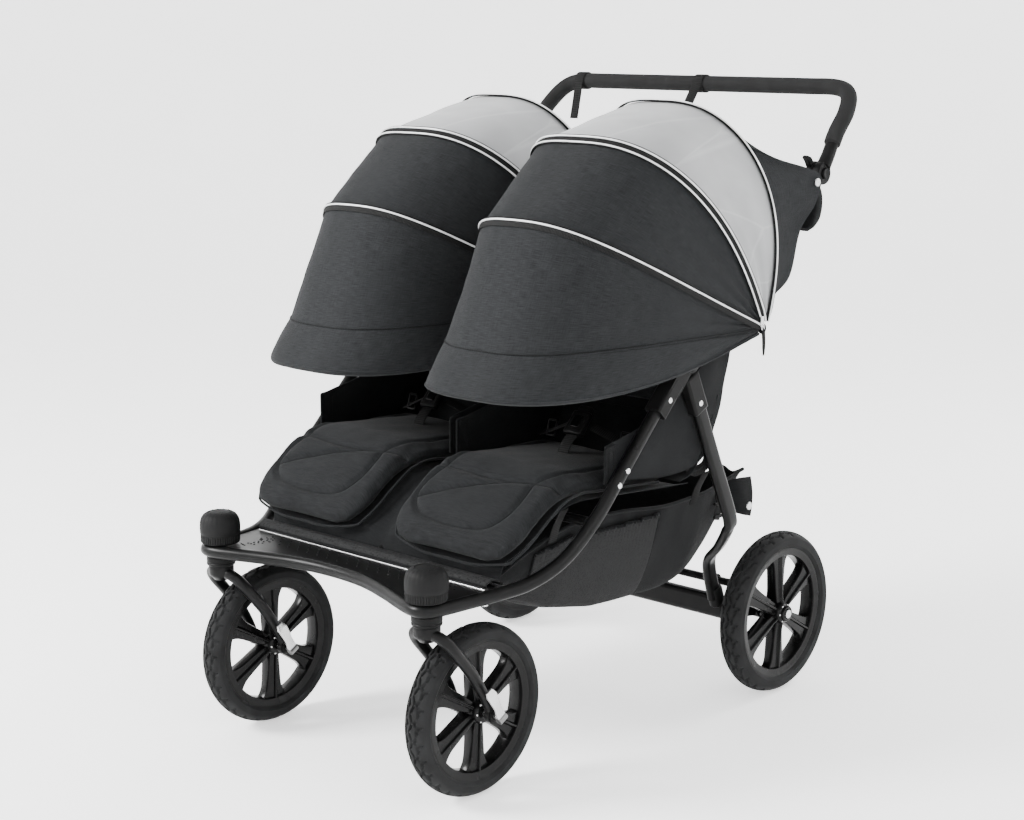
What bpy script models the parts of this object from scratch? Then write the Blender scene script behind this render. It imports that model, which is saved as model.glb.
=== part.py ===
"""Side-by-side double jogging stroller. Metres, +Z up, front towards -Y, the children's left at +X.

Every sub-part is one closed object in world space. A part that moves has its origin on its
joint's axis.
"""

from math import atan2, cos, hypot, pi, radians, sin

import bmesh
import bpy
from mathutils import Matrix, Vector

GAP = 0.0003  # air between neighbouring pieces
SIDES = (("left", 1), ("right", -1))

# --- driving dimensions -------------------------------------------------------------------------
FRAME_X = 0.3525  # centre plane of each side frame
FRAME_R = 0.011  # front frame tube
UPPER_R = 0.0125  # upper side tubes
LOOP_Z = 0.335  # height of the front loop's centre line
HINGE_Y, HINGE_Z = 0.012, 0.668  # main fold axis
FRONT_ANGLE = radians(225.5)  # direction from the fold axis down the front frame, from +Y
LEG_ANGLE = radians(-65.0)  # direction from the fold axis down the rear legs

CASTER_X, CASTER_Y = 0.249, -0.4933
FRONT_WHEEL_Y, FRONT_WHEEL_R = -0.390, 0.1416
REAR_WHEEL_X, REAR_WHEEL_Y, REAR_WHEEL_R = 0.3211, 0.342, 0.150
TYRE_HALF_WIDTH = 0.0235
RIM_SHARE = 0.795  # where tyre and rim meet, as a share of the wheel's radius
SPOKES = 6
WHEEL_STEPS = 28

HANDLE_JOINT_Y, HANDLE_JOINT_Z = 0.392, 0.955
HANDLE_Y, HANDLE_Z = 0.5166, 1.102  # centre line of the grip
HANDLE_R, GRIP_R = 0.0074, 0.0150  # the handle's tube, and the foam over it

REAR_BAR_Y, REAR_BAR_Z, REAR_BAR_HALF = 0.257, 0.165, 0.272
BRAKE_Y, BRAKE_Z = 0.287, 0.203

SEAT_X = 0.174  # centre of each seat
BACK_LOW = (0.085, 0.552)  # backrest frame's lower and upper ends, as (y, z)
BACK_HIGH = (0.332, 0.925)
BACK_HALF = 0.150
RECLINE_Y, RECLINE_Z = 0.078, 0.540
PAD_THICK = 0.032

HOOD_X, HOOD_Y, HOOD_Z = 0.191, 0.205, 0.700  # hood centre plane and bow pivot
BOW_THICK, BOW_WIDTH = 0.0022, 0.008
# each bow: lean forward from upright, length, half width and squareness of its arch
REAR_BOW = (radians(6.0), 0.382, 0.1891, 4.2)
MID_BOW = (radians(37.5), 0.408, 0.1863, 3.4)
FRONT_BOW = (radians(64.6), 0.496, 0.1835, 2.5)
VISOR_EDGE = (radians(97.5), 0.512, 0.1835, 3.6)
CLOTH = 0.002


# --- materials ----------------------------------------------------------------------------------
def material(name, colour, roughness, metallic=0.0):
    mat = bpy.data.materials.new(name)
    mat.use_nodes = True
    shader = mat.node_tree.nodes["Principled BSDF"]
    shader.inputs["Base Color"].default_value = (*colour, 1.0)
    shader.inputs["Roughness"].default_value = roughness
    shader.inputs["Metallic"].default_value = metallic
    mat.diffuse_color = (*colour, 1.0)
    return mat


def make_materials():
    return {
        "frame": material("black_frame", (0.012, 0.012, 0.013), 0.32, 0.6),
        "plastic": material("black_plastic", (0.014, 0.014, 0.015), 0.45),
        "gloss": material("gloss_plastic", (0.010, 0.010, 0.011), 0.18),
        "rubber": material("knob_rubber", (0.020, 0.020, 0.021), 0.75),
        "tyre": material("tyre_rubber", (0.022, 0.022, 0.023), 0.80),
        "foam": material("grip_foam", (0.035, 0.035, 0.037), 0.85),
        "steel": material("bright_steel", (0.62, 0.62, 0.64), 0.25, 1.0),
        "pad": material("pad_fabric", (0.030, 0.031, 0.034), 0.90),
        "canopy": material("canopy_fabric", (0.026, 0.028, 0.033), 0.90),
        "window": material("window_mesh", (0.55, 0.56, 0.57), 0.60),
        "basket": material("basket_fabric", (0.018, 0.018, 0.020), 0.90),
    }


# --- mesh helpers -------------------------------------------------------------------------------
def make_object(name, mesh_data, mat, origin=(0, 0, 0), smooth=True):
    """One object from a bmesh in world space, with its origin moved to the joint axis."""
    bmesh.ops.recalc_face_normals(mesh_data, faces=mesh_data.faces)
    bmesh.ops.translate(mesh_data, verts=mesh_data.verts, vec=-Vector(origin))
    mesh = bpy.data.meshes.new(name)
    mesh_data.to_mesh(mesh)
    mesh_data.free()
    mesh.materials.append(mat)
    obj = bpy.data.objects.new(name, mesh)
    obj.location = origin
    bpy.context.scene.collection.objects.link(obj)
    if smooth:
        mesh.shade_smooth()
        mesh.set_sharp_from_angle(angle=radians(35))
    return obj


def boolean(obj, tool, operation):
    """Joins or cuts with a hidden tool object."""
    tool.hide_render = True
    tool.display_type = "WIRE"
    step = obj.modifiers.new(tool.name, "BOOLEAN")
    step.operation = operation
    step.object = tool
    step.solver = "EXACT"


def joined(name, pieces, mat, origin=(0, 0, 0), holes=()):
    """One node made of overlapping closed pieces, less its holes."""
    obj = make_object(name, pieces[0], mat, origin)
    for i, piece in enumerate(pieces[1:]):
        boolean(obj, make_object(f"{name}.join{i}", piece, mat), "UNION")
    for i, hole in enumerate(holes):
        boolean(obj, make_object(f"{name}.hole{i}", hole, mat), "DIFFERENCE")
    return obj


def rings_to_mesh(rings, closed=False):
    """A closed surface through rings of equal length, with flat ends unless the rings form a loop."""
    made = bmesh.new()
    rows = [[made.verts.new(point) for point in ring] for ring in rings]
    pairs = list(zip(rows, rows[1:]))
    if closed:
        pairs.append((rows[-1], rows[0]))
    for low, high in pairs:
        for i in range(len(low)):
            j = (i + 1) % len(low)
            made.faces.new((low[i], low[j], high[j], high[i]))
    if not closed:
        made.faces.new(rows[0])
        made.faces.new(rows[-1])
    return made


def smooth_path(points, steps=4):
    """Catmull-Rom curve through the points."""
    points = [Vector(p) for p in points]
    ends = [2 * points[0] - points[1], *points, 2 * points[-1] - points[-2]]
    path = []
    for a, b, c, d in zip(ends, ends[1:], ends[2:], ends[3:]):
        for i in range(steps):
            t = i / steps
            square, cube = 2 * a - 5 * b + 4 * c - d, 3 * b - 3 * c + d - a
            path.append(0.5 * (2 * b + (c - a) * t + square * t**2 + cube * t**3))
    return [*path, points[-1]]


def tangents(path):
    last = len(path) - 1
    return [(path[min(i + 1, last)] - path[max(i - 1, 0)]).normalized() for i in range(last + 1)]


def sweep(path, section, up=(0, 0, 1)):
    """Carries a section of (side, up) offsets along the path without twisting it."""
    path = [Vector(p) for p in path]
    ahead = tangents(path)
    side = ahead[0].cross(Vector(up)).normalized()
    rings = []
    for point, tangent in zip(path, ahead):
        side = (side - tangent * side.dot(tangent)).normalized()
        over = side.cross(tangent)
        rings.append([point + side * a + over * b for a, b in section])
    return rings


def circle(radius, sides=12):
    turns = [2 * pi * i / sides for i in range(sides)]
    return [(radius * cos(turn), radius * sin(turn)) for turn in turns]


def oval(half_a, half_b, corner, steps=3):
    """A rectangle with rounded corners."""
    points = []
    for quarter, (sa, sb) in enumerate(((1, 1), (-1, 1), (-1, -1), (1, -1))):
        for i in range(steps):
            turn = quarter * pi / 2 + i / (steps - 1) * pi / 2
            a = sa * (half_a - corner) + corner * cos(turn)
            b = sb * (half_b - corner) + corner * sin(turn)
            points.append((a, b))
    return points


def tube(path, radius, sides=12):
    return rings_to_mesh(sweep(path, circle(radius, sides)))


def sleeve(path, outer, inner, sides=12):
    """A hollow tube, open at both ends."""
    outside = sweep(path, circle(outer, sides))
    inside = sweep(path, circle(inner, sides))
    return rings_to_mesh(outside + inside[::-1], closed=True)


def lathe(profile, centre, axis, steps=24):
    """Turns a closed profile of (radius, along) about an axis; a radius of 0 is not allowed."""
    turn = Vector((0, 0, 1)).rotation_difference(Vector(axis)).to_matrix()
    rings = []
    for i in range(steps):
        angle = 2 * pi * i / steps
        ring = [Vector((r * cos(angle), r * sin(angle), a)) for r, a in profile]
        rings.append([Vector(centre) + turn @ p for p in ring])
    return rings_to_mesh(rings, closed=True)


def rod(start, end, radius, sides=16, end_radius=None):
    """A solid cylinder or cone between two points."""
    start, end = Vector(start), Vector(end)
    made = bmesh.new()
    turn = Vector((0, 0, 1)).rotation_difference(end - start).to_matrix().to_4x4()
    matrix = Matrix.Translation((start + end) / 2) @ turn
    bmesh.ops.create_cone(
        made,
        cap_ends=True,
        segments=sides,
        radius1=radius,
        radius2=radius if end_radius is None else end_radius,
        depth=(end - start).length,
        matrix=matrix,
    )
    return made


def turned(stations, centre, axis=(0, 0, 1), sides=18):
    """A solid of revolution from (radius, along) stations, with flat ends."""
    turn = Vector((0, 0, 1)).rotation_difference(Vector(axis)).to_matrix()
    rings = []
    for radius, along in stations:
        ring = [Vector((a, b, along)) for a, b in circle(radius, sides)]
        rings.append([Vector(centre) + turn @ p for p in ring])
    return rings_to_mesh(rings)


def slab(outline, low, high, axis="z"):
    """A flat plate: the outline's two coordinates, extruded along the third."""
    place = {
        "z": lambda p, h: Vector((p[0], p[1], h)),
        "x": lambda p, h: Vector((h, p[0], p[1])),
        "y": lambda p, h: Vector((p[0], h, p[1])),
    }[axis]
    return rings_to_mesh([[place(p, h) for p in outline] for h in (low, high)])


def ray(origin, angle, distance):
    """The (y, z) point at a distance from another, in a direction measured from +Y."""
    return origin[0] + distance * cos(angle), origin[1] + distance * sin(angle)


def strap(origin, angle, start, end, half):
    """The (y, z) outline of a flat bar along a ray."""
    a, b = ray(origin, angle, start), ray(origin, angle, end)
    dy, dz = -half * sin(angle), half * cos(angle)
    upper = [(a[0] + dy, a[1] + dz), (b[0] + dy, b[1] + dz)]
    return upper + [(b[0] - dy, b[1] - dz), (a[0] - dy, a[1] - dz)]


HINGE = (HINGE_Y, HINGE_Z)
JOINT = (HANDLE_JOINT_Y, HANDLE_JOINT_Z)


# --- front frame --------------------------------------------------------------------------------
SOCKET_START, SOCKET_END = 0.046, 0.112  # the front socket's ends, from the fold axis


def front_half():
    """The front frame's centre line from the middle to the +X socket."""
    end = ray(HINGE, FRONT_ANGLE, SOCKET_END + GAP)
    rise = ray(HINGE, FRONT_ANGLE, 0.320)
    return [
        (0.0, -0.455, LOOP_Z),
        (0.075, -0.4615, LOOP_Z),
        (0.145, -0.482, LOOP_Z),
        (0.205, -0.5045, LOOP_Z),
        (0.2375, -0.5145, LOOP_Z),
        (0.258, -0.5145, LOOP_Z),
        (0.2705, -0.503, LOOP_Z),
        (0.2745, -0.480, LOOP_Z),
        (0.280, -0.425, LOOP_Z),
        (0.291, -0.375, 0.338),
        (0.314, -0.325, 0.350),
        (0.339, -0.273, 0.383),
        (FRAME_X - 0.0005, *rise),
        (FRAME_X, *ray(HINGE, FRONT_ANGLE, 0.230)),
        (FRAME_X, *end),
    ]


def make_front_frame(mats):
    half = front_half()
    route = [(-x, y, z) for x, y, z in half[:0:-1]] + half
    make_object("front_frame_tube", tube(smooth_path(route, 2), FRAME_R, 10), mats["frame"])

    half_plate = [
        (0.0, -0.4415),
        (0.075, -0.448),
        (0.145, -0.4685),
        (0.205, -0.491),
        (0.230, -0.496),
        (0.2365, -0.480),
        (0.2600, -0.4745),
        (0.2655, -0.425),
        (0.2755, -0.390),
        (0.262, -0.3885),
    ]
    plate = [(-x, y) for x, y in half_plate[:0:-1]] + half_plate
    make_object("footplate", slab(plate, 0.3395, 0.3445), mats["gloss"])

    strip = [(-0.270, -0.3885), (-0.278, -0.3575), (0.278, -0.3575), (0.270, -0.3885)]
    make_object("footrest_mesh", slab(strip, 0.3560, 0.3595), mats["canopy"], smooth=False)

    low_bar, high_bar = (-0.3675, 0.3405), (-0.2165, 0.4325)
    front = tube([(-0.2775, *low_bar), (0.2775, *low_bar)], 0.007, 10)
    cross = tube([(-0.3375, *high_bar), (0.3375, *high_bar)], 0.0085, 10)
    middle = tube([(0, *low_bar), (0, *high_bar)], 0.0065, 10)
    joined("seat_rail_frame", [cross, front, middle], mats["frame"])


def make_hinge_sockets(mats):
    """Outer ear, socket and pin of the main fold hinge, one for each side."""
    for side, s in SIDES:
        bar = strap(HINGE, FRONT_ANGLE, 0.0, SOCKET_START + 0.02, 0.0141)
        arm = slab(bar, s * 0.3616, s * 0.3690, "x")
        ear = rod((s * 0.3612, *HINGE), (s * 0.3695, *HINGE), 0.022)
        block = rings_to_mesh(
            sweep(
                [(s * 0.3535, *ray(HINGE, FRONT_ANGLE, d)) for d in (SOCKET_START, 0.08, SOCKET_END)],
                oval(0.0145, 0.0160, 0.005),
                up=(1, 0, 0),
            )
        )
        pin = rod((s * 0.3345, *HINGE), (s * 0.3705, *HINGE), 0.006, 12)
        joined(f"frame_hinge_{side}", [block, arm, ear, pin], mats["plastic"])


FORK_HALF = 0.0385  # from the wheel's middle plane to each fork arm
# (radius, height) stations of the round pieces on the swivel axis
HOUSING = (
    (0.0232, 0.3060),
    (0.0245, 0.3085),
    (0.0245, 0.3215),
    (0.0232, 0.3236),
    (0.0085, 0.3236),
    (0.0085, 0.3462),
)
KNOB = (
    (0.0285, 0.3468),
    (0.0312, 0.3495),
    (0.0318, 0.3720),
    (0.0305, 0.3870),
    (0.0260, 0.3970),
    (0.0160, 0.4010),
)
CROWN = ((0.0165, 0.2855), (0.0215, 0.2900), (0.0215, 0.3057))


def make_casters(mats):
    # (out from the middle plane, behind the swivel axis, height)
    fork_steps = (
        (0.012, 0.0, 0.2950),
        (0.031, 0.004, 0.288),
        (FORK_HALF, 0.026, 0.262),
        (FORK_HALF, 0.060, 0.219),
        (FORK_HALF, FRONT_WHEEL_Y - CASTER_Y - 0.014, 0.168),
        (FORK_HALF, FRONT_WHEEL_Y - CASTER_Y, FRONT_WHEEL_R),
    )
    for side, s in SIDES:
        x = s * CASTER_X
        axis = (x, CASTER_Y, 0)
        make_object(f"caster_housing_{side}", turned(HOUSING, axis), mats["plastic"])
        make_object(f"swivel_lock_knob_{side}", turned(KNOB, axis), mats["rubber"], axis)

        end = (FRONT_WHEEL_Y, FRONT_WHEEL_R)
        pieces = [turned(CROWN, axis, sides=20)]
        for lean in (1, -1):
            route = [(x + lean * a, CASTER_Y + b, c) for a, b, c in fork_steps]
            pieces.append(tube(smooth_path(route, 2), 0.0095, 8))
            pieces.append(rod((x + lean * 0.0335, *end), (x + lean * 0.0445, *end), 0.0125, 14))
        hole = rod((x - 0.06, *end), (x + 0.06, *end), 0.0056)
        joined(f"caster_fork_{side}", pieces, mats["frame"], axis, [hole])

        hub = (x, FRONT_WHEEL_Y, FRONT_WHEEL_R)
        make_axle(f"front_axle_{side}", hub, mats)
        make_lever(f"quick_release_lever_{side}", hub, mats)
        make_wheel(f"front_{{}}_{side}", hub, FRONT_WHEEL_R, 0.0056, mats)


AXLE_OUT = 0.0560  # the front axle's +X end, from the wheel's centre
LEVER_PIN = 0.0058  # radius of the lever's cam
LEVER_ANGLE = radians(119)  # the closed lever points up and forward


def make_axle(name, hub, mats):
    x, y, z = hub
    skewer = rod((x - AXLE_OUT, y, z), (x + AXLE_OUT, y, z), 0.0050)
    nut = rod((x - 0.0580, y, z), (x - 0.0484, y, z), 0.0085, 6)
    joined(name, [skewer, nut], mats["steel"])


def make_lever(name, hub, mats):
    """The cam lever, which closes against the fork and swings out about its own pin."""
    x, y, z = hub
    start = x + AXLE_OUT + GAP
    pin_x = start + LEVER_PIN
    along = Vector((0, -sin(LEVER_ANGLE), cos(LEVER_ANGLE)))
    pin = Vector((pin_x, y, z))
    cam = rod(pin - along * 0.0085, pin + along * 0.0085, LEVER_PIN, 14)
    blade = slab(strap((y, z), LEVER_ANGLE, 0.0, 0.060, 0.0065), pin_x - 0.0022, pin_x + 0.0030, "x")
    joined(name, [cam, blade], mats["steel"], pin)


# --- wheels -------------------------------------------------------------------------------------
def make_wheel(pattern, centre, radius, bore, mats, outward=0.0):
    """Tyre and spoked rim; a positive or negative outward value adds a hub cap on that side."""
    seat = radius * RIM_SHARE
    w = TYRE_HALF_WIDTH
    tread = [
        (seat + GAP, -0.0165),
        (seat + 0.006, -0.0215),
        (radius - 0.016, -w),
        (radius - 0.004, -0.0145),
        (radius, 0.0),
        (radius - 0.004, 0.0145),
        (radius - 0.016, w),
        (seat + 0.006, 0.0215),
        (seat + GAP, 0.0165),
    ]
    make_object(pattern.format("tyre"), lathe(tread, centre, (1, 0, 0), WHEEL_STEPS), mats["tyre"], centre)

    inner = seat - 0.012
    ring = [(seat, -0.0160), (seat, 0.0160), (inner, 0.0150), (inner - 0.0025, 0.0), (inner, -0.0150)]
    rim = lathe(ring, centre, (1, 0, 0), WHEEL_STEPS)
    x, y, z = centre
    hub_ends = (x - 0.0250, x + 0.0250)
    hub = rod((hub_ends[0], y, z), (hub_ends[1], y, z), 0.0190, 18)
    pieces = [rim, hub]
    holes = [rod((x - 0.08, y, z), (x + 0.08, y, z), bore)]
    if outward:
        pieces.append(rod((x + outward * 0.02, y, z), (x + outward * 0.0300, y, z), 0.0135, 18))
        holes.append(rod((x + outward * 0.0255, y, z), (x + outward * 0.05, y, z), 0.0088))
    for i in range(SPOKES):
        turn = pi / 2 + 2 * pi * i / SPOKES
        rings = []
        for reach, half, depth in ((0.010, 0.0085, 0.0130), (seat - 0.0125, 0.0135, 0.0115)):
            root = ray((y, z), turn, reach)
            corners = ((-half, -depth), (half, -depth), (half, depth), (-half, depth))
            rings.append([(x + b, *ray(root, turn + pi / 2, a)) for a, b in corners])
        pieces.append(rings_to_mesh(rings))
    joined(pattern.format("rim"), pieces, mats["gloss"], centre, holes)


# --- rear ---------------------------------------------------------------------------------------
def make_rear(mats):
    hub_z = REAR_WHEEL_R
    ends = [(s * REAR_BAR_HALF, REAR_BAR_Y, REAR_BAR_Z) for s in (-1, 1)]
    bar = rings_to_mesh(sweep(ends, oval(0.010, 0.022, 0.009, 4)))
    make_object("rear_crossbar", bar, mats["frame"])

    spindle = tube([(-0.256, BRAKE_Y, BRAKE_Z), (0.256, BRAKE_Y, BRAKE_Z)], 0.0075, 10)
    tread = [(BRAKE_Y, 0.199), (BRAKE_Y, 0.207), (0.334, 0.2155), (0.346, 0.212), (0.346, 0.207)]
    pedal = slab(tread, -0.050, 0.050, "x")
    joined("brake_pedal", [spindle, pedal], mats["frame"], (0, BRAKE_Y, BRAKE_Z))

    for side, s in SIDES:
        top = ray(HINGE, LEG_ANGLE, 0.052)
        route = [
            (s * FRAME_X, *top),
            (s * FRAME_X, *ray(HINGE, LEG_ANGLE, 0.200)),
            (s * FRAME_X, *ray(HINGE, LEG_ANGLE, 0.325)),
            (s * 0.340, 0.1625, 0.345),
            (s * 0.304, 0.188, 0.303),
            (s * 0.270, 0.208, 0.272),
            (s * 0.259, 0.222, 0.240),
            (s * 0.2575, 0.240, 0.1905),
        ]
        section = oval(0.0075, 0.0145, 0.0070)
        leg = rings_to_mesh(sweep(smooth_path(route, 2), section, up=(0, 1, 0)))
        ear = rod((s * 0.3350, *HINGE), (s * 0.3443, *HINGE), 0.020)
        plate = slab(strap(HINGE, LEG_ANGLE, 0.0, 0.075, 0.0125), s * 0.3355, s * 0.3438, "x")
        block = slab(strap(HINGE, LEG_ANGLE, 0.050, 0.080, 0.0155), s * 0.3385, s * 0.3610, "x")
        hole = rod((s * 0.32, *HINGE), (s * 0.38, *HINGE), 0.0064, 12)
        joined(f"rear_leg_{side}", [leg, ear, plate, block], mats["frame"], (0, *HINGE), [hole])

        inner, outer = s * (REAR_BAR_HALF + GAP), s * 0.2900
        pivot = (REAR_BAR_Y, REAR_BAR_Z)
        lean = atan2(hub_z - REAR_BAR_Z, REAR_WHEEL_Y - REAR_BAR_Y)
        reach = hypot(hub_z - REAR_BAR_Z, REAR_WHEEL_Y - REAR_BAR_Y)
        eye = rod((inner, *pivot), (outer, *pivot), 0.0210, 18)
        beam = slab(strap(pivot, lean, 0.0, reach, 0.0150), inner + s * 0.001, outer - s * 0.001, "x")
        at = (REAR_WHEEL_Y, hub_z)
        boss = rod((inner + s * 0.002, *at), (s * 0.2950, *at), 0.0190, 18)
        axle = rod((s * 0.280, *at), (s * 0.3470, *at), 0.0060)
        joined(f"suspension_arm_{side}", [beam, eye, boss, axle], mats["plastic"], (0, *pivot))

        hub = (s * REAR_WHEEL_X, *at)
        make_wheel(f"rear_{{}}_{side}", hub, REAR_WHEEL_R, 0.0067, mats, outward=s)
        face = s * (REAR_WHEEL_X + 0.0300)
        button = rod((face - s * 0.0012, *at), (face + s * 0.0020, *at), 0.0080)
        make_object(f"wheel_release_button_{side}", button, mats["steel"], (face, *at))


# --- upper frame and handle ---------------------------------------------------------------------
HUB_FACE = 0.3675  # outer face of the handle's two hubs
BUTTON_R, BUTTON_DEPTH, BUTTON_TRAVEL = 0.0090, 0.0060, 0.0030  # the press button and its recess


def make_upper(mats):
    reach = hypot(HANDLE_JOINT_Y - HINGE_Y, HANDLE_JOINT_Z - HINGE_Z)
    lean = atan2(HANDLE_JOINT_Z - HINGE_Z, HANDLE_JOINT_Y - HINGE_Y)
    for side, s in SIDES:
        ear = rod((s * 0.3452, *HINGE), (s * 0.3603, *HINGE), 0.020)
        neck = slab(strap(HINGE, lean, 0.0, 0.070, 0.0117), s * 0.3457, s * 0.3598, "x")
        pipe = tube([(s * FRAME_X, *ray(HINGE, lean, d)) for d in (0.050, reach - 0.050)], UPPER_R)
        hole = rod((s * 0.32, *HINGE), (s * 0.38, *HINGE), 0.0064, 12)
        joined(f"upper_tube_{side}", [pipe, neck, ear], mats["frame"], (0, *HINGE), [hole])

        # the joint's housing closes over the tube's end and carries the inner tooth disc
        shell = rings_to_mesh(
            sweep(
                [(s * FRAME_X, *ray(HINGE, lean, reach - d)) for d in (0.050 - GAP, 0.024)],
                oval(0.0150, 0.0150, 0.006),
                up=(1, 0, 0),
            )
        )
        disc = rod((s * 0.3378, *JOINT), (s * 0.3515, *JOINT), 0.0205, 18)
        web = slab(strap(JOINT, lean + pi, 0.0, 0.034, 0.0143), s * 0.3383, s * 0.3510, "x")
        joined(f"handle_joint_{side}", [shell, web, disc], mats["plastic"], (0, *HINGE))

        corners = ((143, 0.0228), (125, 0.0228), (120, 0.031), (140, 0.0400))
        hook = [ray(JOINT, radians(angle), out) for angle, out in corners]
        place = (s * 0.3446, *ray(JOINT, radians(134), 0.0238))
        made = slab(hook, s * 0.3395, s * 0.3497, "x")
        make_object(f"fold_trigger_{side}", made, mats["plastic"], place)

        start, end = HUB_FACE - BUTTON_DEPTH + BUTTON_TRAVEL + GAP, HUB_FACE + 0.0040
        press = rod((s * start, *JOINT), (s * end, *JOINT), BUTTON_R, 18)
        make_object(f"handle_button_{side}", press, mats["plastic"], (s * HUB_FACE, *JOINT))


def handle_half():
    """The handle's centre line from the middle to the +X joint."""
    return [
        (0.0, HANDLE_Y, HANDLE_Z),
        (0.12, HANDLE_Y, HANDLE_Z),
        (0.24, HANDLE_Y, HANDLE_Z),
        (0.306, HANDLE_Y - 0.001, HANDLE_Z - 0.001),
        (0.338, HANDLE_Y - 0.012, HANDLE_Z - 0.013),
        (FRAME_X + 0.0005, HANDLE_Y - 0.040, HANDLE_Z - 0.042),
        (FRAME_X + 0.0035, 0.4410, 1.0240),
        (0.3598, 0.4130, 0.9880),
        (0.3598, HANDLE_JOINT_Y + 0.006, HANDLE_JOINT_Z + 0.012),
    ]


def make_handle(mats):
    half = handle_half()
    route = [(-x, y, z) for x, y, z in half[:0:-1]] + half
    pieces, recesses = [tube(smooth_path(route, 2), HANDLE_R, 8)], []
    for _, s in SIDES:
        pieces.append(rod((s * 0.3520, *JOINT), (s * HUB_FACE, *JOINT), 0.0195, 18))
        floor = (s * (HUB_FACE - BUTTON_DEPTH), *JOINT)
        recesses.append(rod(floor, (s * (HUB_FACE + 0.01), *JOINT), BUTTON_R + GAP, 18))
    joined("handlebar", pieces, mats["frame"], (0, *JOINT), recesses)
    path = smooth_path(half, 2)
    for side, s in SIDES:
        covered = [(s * max(p.x, 0.004), p.y, p.z) for p in path if p.z > 1.004]
        made = sleeve(covered, GRIP_R, HANDLE_R + 0.0012, 10)
        make_object(f"handle_grip_{side}", made, mats["foam"], (0, *JOINT))


# --- seats --------------------------------------------------------------------------------------
def back_point(along, ahead=0.0):
    """The (y, z) point at a distance up the backrest and in front of its frame."""
    lean = atan2(BACK_HIGH[1] - BACK_LOW[1], BACK_HIGH[0] - BACK_LOW[0])
    y, z = ray(BACK_LOW, lean, along)
    return y - ahead * sin(lean), z + ahead * cos(lean)


def superellipse(length, half, square, t):
    """The (across, out) point of a hood arch at angle t, from one pivot round to the other."""
    c, s = cos(t), max(sin(t), 0.0)
    return half * abs(c) ** (2 / square) * (1 if c > 0 else -1), length * s ** (2 / square)


def hood_point(lean, across, out):
    return Vector((across, HOOD_Y - out * sin(lean), HOOD_Z + out * cos(lean)))


def arch(bow, x_centre, steps=18):
    """Points of a hood bow: a superellipse in a plane through the pivot axis."""
    lean, *shape = bow
    points = []
    for i in range(steps + 1):
        across, out = superellipse(*shape, pi * i / steps)
        points.append(hood_point(lean, x_centre + across, out))
    return points


def bow_strip(bow, x_centre):
    """The flat strip of a bow, bent over its arch."""
    points = arch(bow, x_centre)
    lean = bow[0]
    flat = Vector((0, -cos(lean), -sin(lean)))
    ahead = tangents(points)
    ahead[0] = Vector((0, -sin(lean), cos(lean)))
    ahead[-1] = -ahead[0]
    rings = []
    for point, tangent in zip(points, ahead):
        out = tangent.cross(flat).normalized()
        a, b = out * BOW_THICK / 2, flat * BOW_WIDTH / 2
        rings.append([point + a + b, point + a - b, point - a - b, point - a + b])
    return rings_to_mesh(rings)


def bow_eyes(bow, x_centre):
    """The round pivot eyes at the two ends of a bow."""
    ends = [x_centre + sign * bow[2] for sign in (1, -1)]
    half = BOW_THICK / 2
    return [rod((x - half, HOOD_Y, HOOD_Z), (x + half, HOOD_Y, HOOD_Z), 0.0095, 16) for x in ends]


def hood_sheet(first, second, x_centre, across=16, along=4, ease=0.0065, cut=0.045):
    """A thin closed shell stretched between two bows, held clear of both."""
    grids = []
    for shrink in (0.0, CLOTH):
        rows = []
        for k in range(along + 1):
            v = k / along
            mix = [a + (b - a) * v for a, b in zip(first, second)]
            row = []
            for i in range(across + 1):
                t = pi * (cut + (1 - 2 * cut) * i / across)
                side, out = superellipse(mix[1] - shrink, mix[2] - shrink, mix[3], t)
                margin = ease / max(out, 0.02)
                lean = first[0] + margin + (second[0] - first[0] - 2 * margin) * v
                row.append(hood_point(lean, x_centre + side, out))
            rows.append(row)
        grids.append(rows)
    return shell_between(*grids)


def shell_between(outside, inside):
    """A closed shell from two matching grids of points."""
    made = bmesh.new()
    layers = [[[made.verts.new(p) for p in row] for row in grid] for grid in (outside, inside)]
    tall, wide = len(outside), len(outside[0])
    for layer in layers:
        for j in range(tall - 1):
            for i in range(wide - 1):
                made.faces.new((layer[j][i], layer[j][i + 1], layer[j + 1][i + 1], layer[j + 1][i]))
    rim = [(0, i) for i in range(wide)] + [(j, wide - 1) for j in range(1, tall)]
    rim += [(tall - 1, i) for i in range(wide - 2, -1, -1)] + [(j, 0) for j in range(tall - 2, 0, -1)]
    for (a, b), (c, d) in zip(rim, rim[1:] + rim[:1]):
        made.faces.new((layers[0][a][b], layers[0][c][d], layers[1][c][d], layers[1][a][b]))
    return made


PAD_LIFT = 0.0075  # the backrest pad's back face, in front of its frame
# the backrest pad's stations: distance up the backrest, half width, thickness
PAD_STATIONS = (
    (0.012, 0.128, 0.020),
    (0.040, 0.139, 0.030),
    (0.340, 0.139, 0.030),
    (0.410, 0.122, 0.028),
    (0.436, 0.085, 0.018),
)


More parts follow.
